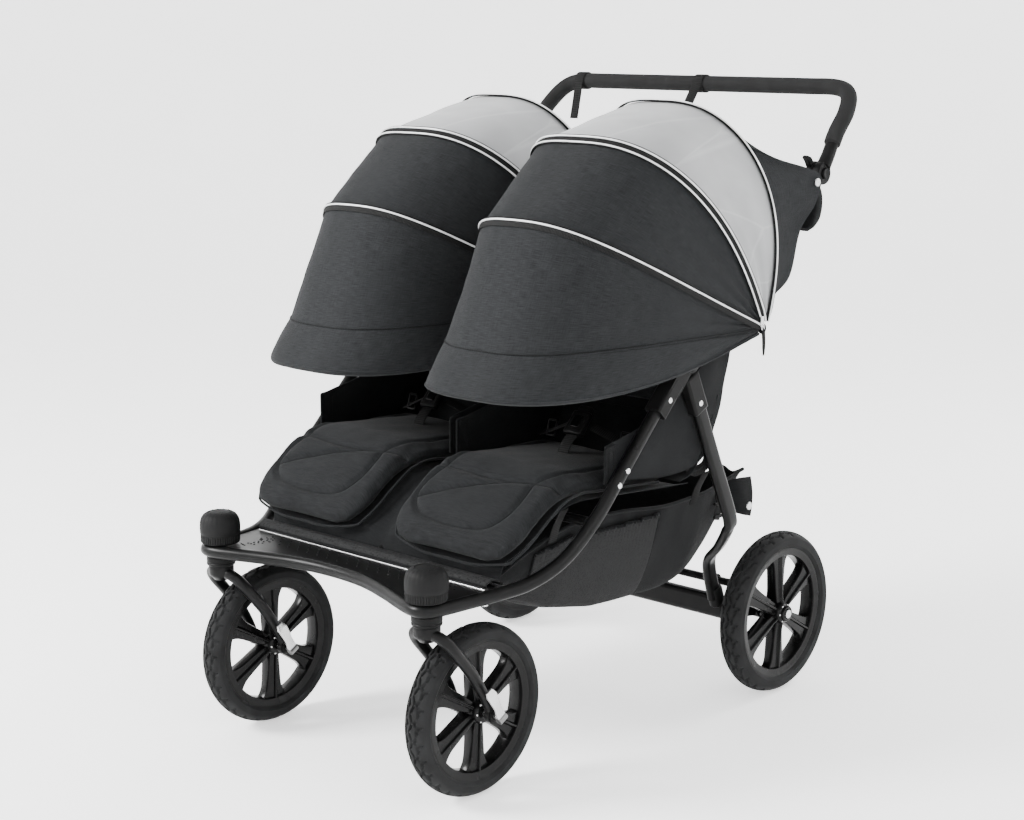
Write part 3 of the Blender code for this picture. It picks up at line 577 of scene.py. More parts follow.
# --- hoods ---------------------------------------------------------------------------------------
def arch(bow, centre, count=90, grow=0.0, turn=0.0, trim=0.0):
    """Evenly spaced points of a hood arch, grown outward, leaned further and trimmed at its ends."""
    lean, length, half, square, bend = bow
    t = np.linspace(0, pi, 600)
    c, s = np.cos(t), np.clip(np.sin(t), 0, None)
    across = (half + grow) * np.abs(c) ** (2 / square) * np.sign(c)
    share = s ** (2 / square)
    out = (length + grow) * share
    back = bend * 4 * share * (1 - share)
    lean = lean + turn / np.maximum(out, 0.03)
    y = HOOD_Y - out * np.sin(lean) + back * np.cos(lean)
    z = HOOD_Z + out * np.cos(lean) + back * np.sin(lean)
    points = np.stack([centre + across, y, z], 1)
    run = np.concatenate([[0], np.cumsum(np.linalg.norm(np.diff(points, axis=0), axis=1))])
    kept = (run >= trim) & (run <= run[-1] - trim)
    return evenly(points[kept], count)


def mixed(bows, v):
    """The arch part way through a row of arches, on a smooth curve through their dimensions."""
    rows = np.array(bows, float)
    at = v * (len(rows) - 1)
    if len(rows) == 2:
        return rows[0] + (rows[1] - rows[0]) * v
    i = min(int(at), len(rows) - 2)
    t = at - i
    before = rows[i - 1] if i else 2 * rows[0] - rows[1]
    after = rows[i + 2] if i + 2 < len(rows) else 2 * rows[-1] - rows[-2]
    b, c = rows[i], rows[i + 1]
    square, cube = 2 * before - 5 * b + 4 * c - after, 3 * b - 3 * c + after - before
    return 0.5 * (2 * b + (c - before) * t + square * t**2 + cube * t**3)


def hood_grid(bows, centre, rows, across=110, sag=0.004, grow=0.0, creases=2.5, seed=1.0):
    """Cloth stretched over arches: it dips between them and creases towards the two pivots."""
    grid = []
    for v in np.linspace(0, 1, rows):
        grid.append(arch(mixed(bows, v), centre, across, grow, trim=0.012))
    grid = np.array(grid)
    outward = unit(grid - np.array([centre, HOOD_Y, HOOD_Z]))
    free = np.clip(np.sin(pi * np.linspace(0, 1, across)), 0, None)[None, :]
    v = np.linspace(0, 1, rows)[:, None]
    grid = grid - outward * (sag * 4 * v * (1 - v) * free)[:, :, None]
    near = np.linspace(0, 1, across)
    near = np.exp(-np.minimum(near, 1 - near) * 9)[None, :]
    v = np.linspace(0, 1, rows)[:, None]
    edge = 4 * v * (1 - v)
    folds = np.cos(2 * pi * creases * v + 3.0 * near) * near * 0.0030 * edge
    folds = folds + ripple(grid, 8.0, 0.0030, seed) * edge
    folds = folds + ripple(grid * np.array([1.0, 2.6, 2.6]), 14.0, 0.0010, seed + 5) * edge
    return grid + grid_normals(grid) * folds[:, :, None]


def band(bow, centre, width, lift, turn=0.0, across=120, crown=0.0006):
    """A narrow tape over an arch, slightly crowned."""
    rows = []
    for k in np.linspace(-1, 1, 5):
        rise = lift + crown * (1 - k * k)
        rows.append(arch(bow, centre, across, rise, turn + k * width / 2, trim=0.006))
    return np.array(rows)


def hood_piping(name, bow, centre, body, offsets, tape):
    cloth(f"{name}_tape", band(bow, centre, tape, 0.0030), "zip", body, 0.0012)
    for i, offset in enumerate(offsets):
        path = arch(bow, centre, 120, 0.0048, offset, trim=0.004)
        tube(f"{name}_piping{i}", path, 0.0016, "piping", body, 10)
        edge = arch(bow, centre, 120, 0.0036, offset + (0.0030 if offset >= 0 else -0.0030), trim=0.004)
        tube(f"{name}_edging{i}", edge, 0.0014, "binding", body, 8)


def make_hood(side, s):
    centre = s * HOOD_X
    back, mid, front = f"backrest_{side}", f"hood_mid_{side}", f"hood_front_{side}"
    grid = hood_grid((REAR_BOW, MID_BOW), centre, 22, sag=0.012, seed=2.0 + s)
    window = cloth(f"hood_window_cloth_{side}", grid, "window", None, 0.0008)
    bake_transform(window)
    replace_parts(window, f"hood_window_{side}")

    grid = hood_grid((MID_BOW, FRONT_BOW), centre, 30, sag=0.009, seed=5.0 + s, creases=3.5)
    panel = cloth(f"hood_centre_cloth_{side}", grid, "canopy", None)
    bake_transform(panel)
    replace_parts(panel, f"hood_centre_panel_{side}")

    upper = hood_grid((FRONT_BOW, VISOR_SEAM), centre, 24, sag=0.011, seed=8.0 + s)
    lower = hood_grid(
        (VISOR_SEAM, VISOR_BRIM, VISOR_EDGE, VISOR_HEM), centre, 20, sag=-0.0008, seed=9.0 + s
    )
    visor = cloth(f"hood_visor_cloth_{side}", np.vstack([upper, lower[1:]]), "canopy", front, 0.0022)
    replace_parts(visor, f"hood_visor_{side}")
    for i, (offset, radius, look) in enumerate(((0.0, 0.0013, "thread"), (0.0045, 0.0007, "binding"))):
        path = arch(VISOR_SEAM, centre, 120, 0.0016, offset, trim=0.02)
        tube(f"hood_visor_seam{i}_{side}", path, radius, look, front, 8)
    hem_cord = arch(VISOR_EDGE, centre, 120, 0.0010, trim=0.016)
    tube(f"hood_visor_hem_{side}", hem_cord, 0.0020, "canopy", front, 10)

    for name, bow, body in (("mid", MID_BOW, mid), ("front", FRONT_BOW, front)):
        strip = cloth(
            f"hood_{name}_strip_{side}", band(bow, centre, 0.012, -0.0042), "plastic", body, 0.0034
        )
        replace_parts(strip, f"hood_{name}_bow_{side}")
        for reach in (1, -1):
            eye = [(0.0038, -0.0018), (0.0092, -0.0018), (0.0096, 0.0), (0.0092, 0.0018), (0.0038, 0.0018)]
            spot = (centre + reach * (bow[2] - 0.004), HOOD_Y, HOOD_Z)
            lathe(f"hood_{name}_eye{reach + 1}_{side}", eye, spot, "plastic", body, (reach, 0, 0), 32)
    hood_piping(f"hood_rear_{side}", REAR_BOW, centre, back, (0.0,), 0.011)
    hood_piping(f"hood_mid_{side}", MID_BOW, centre, mid, (-0.0066, 0.0066), 0.021)
    hood_piping(f"hood_front_{side}", FRONT_BOW, centre, front, (-0.0030,), 0.016)
    make_zip_pull(side, s, centre)


def make_zip_pull(side, s, centre):
    """The slider at the hood's outer pivot and its hanging rubber pull."""
    x = centre + s * (MID_BOW[2] + 0.0060)
    body = f"hood_mid_{side}"
    y, z = HOOD_Y - 0.016, HOOD_Z + 0.016
    outline = [
        (y - 0.005, z - 0.010), (y + 0.005, z - 0.010), (y + 0.004, z + 0.008), (y - 0.004, z + 0.008)
    ]
    plate(f"zip_slider_{side}", outline, x - s * 0.0010, x + s * 0.0022, "steel", body, "x", 0.0009)
    ring = [
        (x + s * 0.0026, y + 0.0036 * cos(a), z - 0.011 + 0.0050 * sin(a))
        for a in np.linspace(0, 2 * pi, 24)
    ]
    tube(f"zip_ring_{side}", ring, 0.0008, "steel", body, 8)
    path = curve_through(
        [
            (x + s * 0.003, y, z - 0.014), (x + s * 0.0034, y + 0.002, z - 0.034),
            (x + s * 0.003, y + 0.003, z - 0.060),
        ],
        16,
    )
    width = np.interp(np.linspace(0, 1, 16), [0, 0.15, 0.7, 1], [0.5, 1.0, 0.85, 0.45])
    rings = sweep(path, rounded_box(0.0042, 0.0016, 0.0012, 4), width, up=(1, 0, 0))
    skin(f"zip_pull_{side}", rings, "rubber", body)


# --- seats ---------------------------------------------------------------------------------------
SEAT_PROFILE = (
    (-0.370, 0.377),
    (-0.362, 0.397),
    (-0.336, 0.422),
    (-0.298, 0.452),
    (-0.260, 0.476),
    (-0.222, 0.4860),
    (-0.180, 0.4835),
    (-0.070, 0.4750),
    (0.030, 0.4670),
)
PAD_HALF_THICK = 0.0135
KNEE = 0.155  # distance from the seat pad's front edge to the crease at the knee


def back_point(along, ahead=0.0):
    lean = atan2(BACK_HIGH[1] - BACK_LOW[1], BACK_HIGH[0] - BACK_LOW[0])
    y, z = ray(BACK_LOW, lean, along)
    return y - ahead * sin(lean), z + ahead * cos(lean)


def pad_rings(profile, halves, thick):
    """Rings of a closed pad along a (y, z) line: halves gives its half width at each step."""
    rings = []
    ahead = unit(np.gradient(profile, axis=0))
    turn = 2 * pi * np.arange(40) / 40
    for (y, z), (dy, dz), half, depth in zip(profile, ahead, halves, thick):
        a = half * np.sign(np.cos(turn)) * np.abs(np.cos(turn)) ** 0.42
        b = depth * np.sign(np.sin(turn)) * np.abs(np.sin(turn)) ** 0.75
        rings.append(np.stack([a, y - dz * b, z + dy * b], 1))
    return np.array(rings)


def puffed(obj, cap, voxel=0.006):
    """Remeshes a closed pad, swells it under pressure and smooths it. Seams come afterwards."""
    remesh = obj.modifiers.new("even", "REMESH")
    remesh.mode, remesh.voxel_size = "VOXEL", voxel
    bake(obj)
    rest = np.array([v.co for v in obj.data.vertices])
    step = obj.modifiers.new("swell", "CLOTH")
    step.settings.use_pressure = True
    step.settings.uniform_pressure_force = 4.0
    step.settings.tension_stiffness = step.settings.compression_stiffness = 25
    step.settings.effector_weights.gravity = 0.0
    step.settings.quality = 6
    step.point_cache.frame_start, step.point_cache.frame_end = 1, 20
    for number in range(1, 21):
        bpy.context.scene.frame_set(number)
    bake(obj)
    bpy.context.scene.frame_set(1)
    swollen = np.array([v.co for v in obj.data.vertices])
    move = swollen - rest
    length = np.linalg.norm(move, axis=1, keepdims=True)
    move *= np.minimum(1.0, cap / np.maximum(length, 1e-9))
    obj.data.vertices.foreach_set("co", (rest + move).ravel())
    smooth = obj.modifiers.new("smooth", "SMOOTH")
    smooth.factor, smooth.iterations = 0.5, 5
    finer = obj.modifiers.new("finer", "SUBSURF")
    finer.levels = finer.render_levels = 1
    bake(obj)


def bake(obj):
    """Applies the modifiers of a piece."""
    graph = bpy.context.evaluated_depsgraph_get()
    mesh = bpy.data.meshes.new_from_object(obj.evaluated_get(graph))
    obj.modifiers.clear()
    obj.data = mesh
    mesh.shade_smooth()


def seam_distance(points, seams):
    """Each point's distance to the nearest of some polylines, in the plane."""
    best = np.full(len(points), 1.0)
    for seam in seams:
        for a, b in zip(seam, seam[1:]):
            d = b - a
            t = np.clip(((points - a) @ d) / max(d @ d, 1e-12), 0, 1)
            best = np.minimum(best, np.linalg.norm(points - a - t[:, None] * d, axis=1))
    return best


def quilt(obj, profile, centre, seams, depth, width=0.0055):
    """Sews channels into a pad's front face: seams are lines of (across, distance along the profile)."""
    run = np.concatenate([[0], np.cumsum(np.linalg.norm(np.diff(profile, axis=0), axis=1))])
    ahead = unit(np.gradient(profile, axis=0))
    co = np.array([v.co for v in obj.data.vertices])
    flat = co[:, 1:]
    nearest = np.argmin(((flat[:, None, :] - profile[None]) ** 2).sum(2), axis=1)
    offset = flat - profile[nearest]
    step = (offset * ahead[nearest]).sum(1)
    over = offset[:, 1] * ahead[nearest, 0] - offset[:, 0] * ahead[nearest, 1]
    place = np.stack([co[:, 0] - centre, run[nearest] + step], 1)
    gap = seam_distance(place, seams)
    top = np.clip(over / 0.004, 0, 1)
    sink = depth * np.exp(-((gap / width) ** 2)) * top
    puff = 0.0022 * (1 - np.exp(-((gap / 0.028) ** 2))) * top
    crumple = ripple(co, 20.0, 0.0016, 3.0) * top
    normal = np.stack([np.zeros(len(co)), -ahead[nearest, 1], ahead[nearest, 0]], 1)
    co += normal * (puff + crumple - sink)[:, None]
    obj.data.vertices.foreach_set("co", co.ravel())
    obj.data.update()


def seam_threads(name, obj, profile, centre, seams, body, radius=0.0006):
    """A thin sewn line in each channel, laid on the pad's own surface."""
    tree = BVHTree.FromPolygons([v.co for v in obj.data.vertices], [p.vertices for p in obj.data.polygons])
    run = np.concatenate([[0], np.cumsum(np.linalg.norm(np.diff(profile, axis=0), axis=1))])
    ahead = unit(np.gradient(profile, axis=0))
    for i, seam in enumerate(seams):
        path = []
        for across, along in evenly(seam, max(12, int(len(seam) * 3))):
            y, z, dy, dz = (np.interp(along, run, column) for column in (*profile.T, *ahead.T))
            start = Vector((centre + across, y - dz * 0.06, z + dy * 0.06))
            hit = tree.ray_cast(start, Vector((0, dz, -dy)), 0.12)[0]
            if hit is not None:
                path.append(np.array(hit) + np.array([0, -dz, dy]) * radius * 0.3)
        if len(path) > 4:
            tube(f"{name}{i}", np.array(path), radius, "binding", body, 8)


def smooth_seam(points, count=40):
    return curve_through(points, count)


def seat_seams():
    u_line = [(-0.105, KNEE), (-0.118, 0.110), (-0.112, 0.078), (-0.080, 0.052), (0.0, 0.043)]
    u_line += [(0.062, 0.052), (0.088, 0.080), (0.094, 0.115), (0.090, KNEE)]
    knee = [
        (-0.155, KNEE + 0.004), (-0.105, KNEE), (-0.04, KNEE - 0.006), (0.0, KNEE - 0.008),
        (0.05, KNEE - 0.006),
    ]
    knee += [(0.090, KNEE), (0.155, KNEE + 0.006)]
    leaf = [(-0.113, 0.082), (-0.05, 0.112), (0.0, 0.134), (0.045, KNEE - 0.007)]
    left = [(-0.105, KNEE), (-0.112, 0.20), (-0.114, 0.28), (-0.112, 0.40)]
    right = [(0.090, KNEE), (0.108, 0.19), (0.114, 0.24), (0.112, 0.40)]
    return [smooth_seam(line) for line in (u_line, knee, leaf, left, right)]


def make_seat_pads():
    """One seat pad is swollen and sewn, and the other seat has a copy."""
    profile = curve_through(SEAT_PROFILE, 90)
    run = np.linspace(0, 1, 90)
    full = np.interp(run, [0, 0.35, 0.5, 1], [0.140, 0.148, 0.156, 0.158])
    corner = 0.16
    round_off = np.sqrt(np.clip(1 - (1 - np.clip(run / corner, 0, 1)) ** 2, 0.0, 1))
    halves = full - 0.045 * (1 - round_off)
    thick = PAD_HALF_THICK * np.interp(run, [0, 0.02, 0.05, 0.97, 1], [0.35, 0.7, 1, 1, 0.7])
    rings = pad_rings(profile, halves, thick)
    seams = seat_seams()
    shape = skin("seat_pad_shape", rings, "pad", "chassis")
    puffed(shape, 0.007)
    for side, s in SIDES:
        centre = s * SEAT_X
        pad = place_copy(shape, f"seat_cushion_{side}", centre, "chassis")
        quilt(pad, profile, centre, seams, 0.0052)
        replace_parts(pad, f"seat_pad_{side}")
        seam_threads(f"seat_seam_{side}_", pad, profile, centre, seams, "chassis")
        edge_piping(f"seat_edge_{side}", profile, halves, thick, centre, "chassis")
    bpy.data.objects.remove(shape)


def place_copy(shape, name, centre, body):
    mesh = shape.data.copy()
    mesh.transform(Matrix.Translation((centre, 0, 0)))
    obj = bpy.data.objects.new(name, mesh)
    bpy.context.scene.collection.objects.link(obj)
    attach(obj, body)
    return obj


def edge_piping(name, profile, halves, thick, centre, body, tail=0.86):
    """The sewn cord round a pad's lower edge: up one side, across the front and down the other."""
    ahead = unit(np.gradient(profile, axis=0))
    last = int(len(profile) * tail)
    side_line = []
    for i in range(last, 0, -3):
        y, z = profile[i]
        dy, dz = ahead[i]
        drop = -thick[i] * 0.55
        side_line.append((halves[i] + 0.003, y - dz * drop, z + dy * drop))
    front = profile[0] - ahead[0] * 0.0035
    left = [(centre + x, y, z) for x, y, z in side_line]
    right = [(centre - x, y, z) for x, y, z in side_line[::-1]]
    middle = [(centre + halves[0] * k, *front) for k in (0.6, 0.0, -0.6)]
    tube(name, curve_through([*left, *middle, *right], 140), 0.0022, "pad", body, 10)


def back_profile(count=70):
    """The backrest pad's middle line, gently hollowed, from the bottom up."""
    line = []
    for along, ahead in (
        (0.006, 0.020), (0.06, 0.026), (0.18, 0.023), (0.31, 0.022), (0.41, 0.024), (0.438, 0.022)
    ):
        line.append(back_point(along, ahead))
    return curve_through(line, count)


def make_back_pads():
    profile = back_profile()
    run = np.linspace(0, 1, len(profile))
    halves = np.interp(run, [0, 0.05, 0.8, 0.92, 1], [0.124, 0.135, 0.135, 0.122, 0.088])
    thick = 0.0118 * np.interp(run, [0, 0.04, 0.95, 1], [0.5, 1, 1, 0.5])
    body = "backrest_left"
    shape = skin("back_pad_shape", pad_rings(profile, halves, thick), "pad", body)
    puffed(shape, 0.006, 0.0065)
    seams = [
        [(-0.098, 0.02), (-0.104, 0.12), (-0.104, 0.30), (-0.080, 0.385), (0.0, 0.402)],
        [(0.098, 0.02), (0.104, 0.12), (0.104, 0.30), (0.080, 0.385), (0.0, 0.402)],
        [(-0.104, 0.15), (0.0, 0.142), (0.104, 0.15)],
        [(-0.104, 0.28), (0.0, 0.272), (0.104, 0.28)],
    ]
    seams = [smooth_seam(line) for line in seams]
    for side, s in SIDES:
        centre, body = s * SEAT_X, f"backrest_{side}"
        pad = place_copy(shape, f"back_cushion_{side}", centre, body)
        quilt(pad, profile, centre, seams, 0.0048)
        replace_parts(pad, f"backrest_pad_{side}")
        seam_threads(f"back_seam_{side}_", pad, profile, centre, seams, body)
    bpy.data.objects.remove(shape)


def offset_line(profile, drop):
    ahead = unit(np.gradient(profile, axis=0))
    return np.stack([profile[:, 0] + ahead[:, 1] * drop, profile[:, 1] - ahead[:, 0] * drop], 1)


def make_seat_shell():
    """The cloth that carries both seats: a deck under the pads, and sides beside each seat."""
    under = offset_line(curve_through(SEAT_PROFILE, 60), 0.021)
    under[0] = (-0.3535, 0.3515)
    half = np.interp(np.linspace(0, 1, 60), [0, 0.12, 0.5, 0.62, 1], [0.272, 0.300, 0.330, 0.345, 0.352])
    across = np.linspace(-1, 1, 91)
    grid = np.zeros((60, 91, 3))
    for i, ((y, z), wide) in enumerate(zip(under, half)):
        x = across * wide
        gap = np.exp(-((x / 0.022) ** 2)) * 0.010
        sides = np.clip(np.abs(x) - SEAT_X - 0.150, 0, 1) * 0.30
        grid[i] = np.stack([x, np.full(91, y), z - gap + sides], 1)
    grid[:, :, 2] += ripple(grid, 16.0, 0.0016, 4.0)
    deck = cloth("seat_deck", grid, "lining", "chassis")

    for side, s in SIDES:
        centre = s * SEAT_X
        for edge, lean in (("outer", s), ("inner", -s)):
            x = centre + lean * 0.163
            low = [
                (x, 0.108, 0.506), (x, 0.068, 0.477), (x, -0.020, 0.472), (x, -0.110, 0.484),
                (x, -0.172, 0.490),
            ]
            high = [
                (centre + lean * 0.154, *back_point(0.190, 0.004)),
                (x, 0.070, 0.640),
                (x, -0.060, 0.575),
                (x - lean * 0.001, -0.172, 0.548),
            ]
            low, high = curve_through(low, 30), curve_through(high, 30)
            rows = np.linspace(0, 1, 14)[:, None, None]
            panel = low[None] * (1 - rows) + high[None] * rows
            panel[:, :, 0] += lean * 0.004 * np.sin(pi * rows[:, :, 0])
            panel[:, :, 0] += ripple(panel, 22.0, 0.0026, 7.0 + lean)
            wall = cloth(f"seat_wall_{edge}_{side}", panel, "lining", None)
            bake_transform(wall)
            make_hip_tab(f"hip_tab_{edge}_{side}", x + lean * 0.003, lean)
    low = curve_through(
        [(0.020, 0.4560), (0.056, 0.466), (0.086, 0.500), (0.108, 0.548), (0.124, 0.590)], 26
    )
    grid = np.array([[(u * 0.340, y, z) for u in np.linspace(-1, 1, 90)] for y, z in low])
    grid[:, :, 1] += ripple(grid, 14.0, 0.0030, 11.0)
    bight = cloth("seat_bight", grid, "lining", None)
    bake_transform(bight)


def make_hip_tab(name, x, lean):
    """The upright stiffened tab beside a seat, where the side cloth fastens to the frame."""
    outline = [
        (-0.178, 0.486), (-0.150, 0.489), (-0.150, 0.546), (-0.153, 0.550), (-0.175, 0.548),
        (-0.178, 0.545),
    ]
    plate(name, outline, x - 0.0022, x + 0.0022, "binding", "chassis", "x", 0.0014)
    loop = [
        (x + lean * 0.0030, y, z)
        for y, z in ((-0.170, 0.494), (-0.158, 0.494), (-0.158, 0.540), (-0.170, 0.540))
    ]
    stitch = evenly(np.array([*loop, loop[0]]), 60)
    tube(f"{name}_stitch", stitch, 0.0005, "thread", "chassis", 6)


def make_harness():
    for side, s in SIDES:
        centre = s * SEAT_X
        back = f"backrest_{side}"
        crotch = [
            (centre, -0.090, 0.4885), (centre, -0.086, 0.506), (centre, -0.070, 0.522),
            (centre, -0.050, 0.534),
        ]
        strap(
            f"crotch_strap_{side}", curve_through(crotch, 20), 0.024, "webbing", "chassis", face=(0, -1, 0)
        )
        make_buckle(f"harness_buckle_{side}", centre)
        for edge, lean in (("outer", 1), ("inner", -1)):
            lap = [
                (centre + lean * 0.026, -0.040, 0.540),
                (centre + lean * 0.070, -0.028, 0.522),
                (centre + lean * 0.115, -0.006, 0.506),
                (centre + lean * 0.136, 0.020, 0.504),
            ]
            strap(
                f"lap_strap_{edge}_{side}", curve_through(lap, 24), 0.020, "webbing", "chassis",
                face=(0, -0.4, 1),
            )
            tri_glide(f"lap_glide_{edge}_{side}", (centre + lean * 0.082, -0.0235, 0.5195))
            high = [
                (centre + lean * 0.052, *back_point(a, b))
                for a, b in ((0.355, 0.038), (0.25, 0.044), (0.13, 0.046))
            ]
            low = [(centre + lean * 0.046, *back_point(0.055, 0.060))]
            path = curve_through([*high, *low], 40)
            strap(f"shoulder_strap_{edge}_{side}", path, 0.020, "webbing", back, face=(0, -1, 0.6))
            make_shoulder_pad(f"shoulder_pad_{edge}_{side}", centre + lean * 0.052, back)


def make_shoulder_pad(name, x, back):
    line = curve_through(
        [back_point(a, b) for a, b in ((0.325, 0.0465), (0.24, 0.050), (0.165, 0.050))], 40
    )
    halves = np.full(40, 0.0225) * np.interp(np.linspace(0, 1, 40), [0, 0.06, 0.94, 1], [0.8, 1, 1, 0.8])
    thick = np.full(40, 0.0055) * np.interp(np.linspace(0, 1, 40), [0, 0.06, 0.94, 1], [0.5, 1, 1, 0.5])
    rings = pad_rings(line, halves, thick) + np.array([x, 0, 0])
    pad = skin(name, rings, "pad", back)


def make_buckle(name, centre):
    """The centre buckle: a body with a press button, and a narrower piece at its upper end."""
    y, z = -0.048, 0.544
    tilt = radians(48)
    ahead = np.array([0, cos(tilt), sin(tilt)])
    over = np.array([0, -sin(tilt), cos(tilt)])
    middle = np.array([centre, y, z])

    def slab_piece(label, half_w, low, high, front, rear, look, bevel):
        rings = []
        for lift in (rear, front):
            corners = ((-half_w, low), (half_w, low), (half_w * 0.92, high), (-half_w * 0.92, high))
            rings.append([middle + np.array([a, 0, 0]) + ahead * b + over * lift for a, b in corners])
        obj = skin(f"{name}_{label}", rings, look, "chassis", sharp=30)
        soften(obj, bevel)

    slab_piece("body", 0.0200, -0.024, 0.022, 0.0070, -0.0060, "plastic", 0.0035)
    slab_piece("button", 0.0100, -0.012, 0.012, 0.0088, 0.0050, "gloss", 0.0022)
    slab_piece("frame", 0.0150, 0.016, 0.034, 0.0035, -0.0025, "plastic", 0.0018)


def tri_glide(name, place):
    """A webbing adjuster: an open rectangular frame."""
    x, y, z = place
    corners = ((-0.009, -0.013), (0.009, -0.013), (0.009, 0.013), (-0.009, 0.013))
    frame_line = [(x + a, y + b * 0.3, z + 0.002 + b) for a, b in corners]
    ring = evenly(np.array([*frame_line, frame_line[0]]), 40)
    tube(name, ring, 0.0018, "plastic", "chassis", 8)


# --- front frame ---------------------------------------------------------------------------------
def front_half():
    """The front frame's centre line from the middle to the +X socket."""
    rise = ray(HINGE, FRONT_ANGLE, 0.320)
    return [
        (0.0, -0.455, LOOP_Z),
        (0.075, -0.4615, LOOP_Z),
        (0.145, -0.482, LOOP_Z),
        (0.205, -0.5045, LOOP_Z),
        (0.2375, -0.5145, LOOP_Z),
        (0.258, -0.5145, LOOP_Z),
        (0.2705, -0.503, LOOP_Z),
        (0.2745, -0.480, LOOP_Z),
        (0.280, -0.425, LOOP_Z),
        (0.291, -0.375, 0.338),
        (0.314, -0.325, 0.350),
        (0.339, -0.273, 0.383),
        (FRAME_X - 0.0005, *rise),
        (FRAME_X, *ray(HINGE, FRONT_ANGLE, 0.230)),
        (FRAME_X, *ray(HINGE, FRONT_ANGLE, 0.1125)),
    ]


def mirrored(half):
    return [(-p[0], *p[1:]) for p in half[:0:-1]] + list(half)


def make_front_frame():
    path = curve_through(mirrored(front_half()), 260)
    loop = tube("front_loop", path, FRAME_R, "frame", "chassis", 28)
    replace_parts(loop, "front_frame_tube")
    make_footplate()
    for side, s in SIDES:
        outer = s * (FRAME_X + FRAME_R - 0.0004)
        for i, (angle_out, look) in enumerate(((0.2250, "steel"), (0.2545, "steel"))):
            rivet(
                f"tube_rivet{i}_{side}", (outer, *ray(HINGE, FRONT_ANGLE, angle_out)), (s, 0, 0),
                "chassis", 0.0050, look,
            )
        rivet(
            f"socket_rivet_{side}", (s * 0.3685, *ray(HINGE, FRONT_ANGLE, 0.082)), (s, 0, 0),
            "chassis", 0.0052,
        )
        rivet(
            f"low_rivet_{side}", (s * 0.2895, -0.405, LOOP_Z - 0.0095), (s * 0.3, 0, -1), "chassis", 0.0045
        )
        cap = [(0.0004, 0.0), (0.019, 0.0), (0.0185, 0.0022), (0.014, 0.0036), (0.0004, 0.0040)]
        lathe(f"hinge_cap_{side}", cap, (s * 0.3695, *HINGE), "plastic", "chassis", (s, 0, 0), 40)


def make_footplate():
    """A glossy pressed plate with dimples, and the stretched mesh strip behind it."""
    pipe = curve_through(mirrored(front_half()), 400)
    x = np.linspace(-0.2890, 0.2890, 150)
    low = [pipe[np.abs(pipe[:, 0] - at) < 0.004, 1].min() + 0.004 for at in x]
    low = np.minimum(low, -0.3860)
    rows = np.linspace(0, 1, 26)
    grid = np.zeros((26, 150, 3))
    for i, v in enumerate(rows):
        y = low + (-0.3850 - low) * v
        grid[i] = np.stack([x, y, np.full(150, 0.3405)], 1)
    plate_obj = cloth("footplate_sheet", grid, "footplate", "chassis", 0.0042)
    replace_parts(plate_obj, "footplate")
    edge = [(-0.272, -0.3880, 0.3430), (0.0, -0.3880, 0.3430), (0.272, -0.3880, 0.3430)]
    tube("footplate_edge", curve_through(edge, 30), 0.0010, "steel", "chassis", 10)
    make_dimples()
    strip_half = np.linspace(-1, 1, 120)
    grid = np.zeros((15, 120, 3))
    for i, v in enumerate(np.linspace(0, 1, 15)):
        wide = 0.272 + 0.008 * v
        rise = 0.0085 * (4 * v * (1 - v)) ** 0.6
        ribs = 0.0005 * np.cos(2 * pi * (strip_half * 60 + 2.0 * v))
        grid[i] = np.stack([strip_half * wide, np.full(120, -0.3860 + 0.0300 * v), 0.3480 + rise + ribs], 1)
    strip = cloth("footrest_strip", grid, "strip", "chassis", 0.0030)
    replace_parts(strip, "footrest_mesh")
    for i, v in enumerate((0.0, 1.0)):
        y, wide = -0.3860 + 0.0300 * v, 0.272 + 0.008 * v
        line = [(-wide, y, 0.3480), (0.0, y, 0.3480), (wide, y, 0.3480)]
        tube(f"footrest_cord{i}", curve_through(line, 40), 0.0024, "binding", "chassis", 10)


def make_dimples():
    """Rows of small raised grip dots on the footplate, and three arcs beside each knob."""
    spots = []
    for i in range(-9, 10):
        for j in range(3):
            x = i * 0.0245 + (j % 2) * 0.012
            y = -0.4020 - j * 0.0135
            if abs(x) < 0.236 and y > np.interp(
                abs(x), [0, 0.1, 0.2, 0.24], [-0.437, -0.450, -0.480, -0.490]
            ):
                spots.append((x, y))
    for s in (-1, 1):
        for ring in range(3):
            for a in np.linspace(radians(60), radians(150), 7):
                radius = 0.040 + ring * 0.0085
                spots.append(
                    (s * (CASTER_X - radius * sin(a - 0.3) * 0.9), CASTER_Y + radius * cos(a - 0.9) + 0.030)
                )
    points, faces = [], []
    for x, y in spots:
        start = len(points)
        for radius, lift in ((0.0021, 0.0), (0.0017, 0.0008), (0.0009, 0.0012)):
            for k in range(10):
                a = 2 * pi * k / 10
                points.append((x + radius * cos(a), y + radius * sin(a), 0.3424 + lift))
        for ring in range(2):
            for k in range(10):
                a, b = start + ring * 10 + k, start + ring * 10 + (k + 1) % 10
                faces.append((a, b, b + 10, a + 10))
        faces.append(tuple(range(start + 20, start + 30)))
        faces.append(tuple(range(start, start + 10)))
    finish("footplate_dots", points, faces, "footplate", "chassis")


# --- casters -------------------------------------------------------------------------------------
FORK_HALF = 0.0385


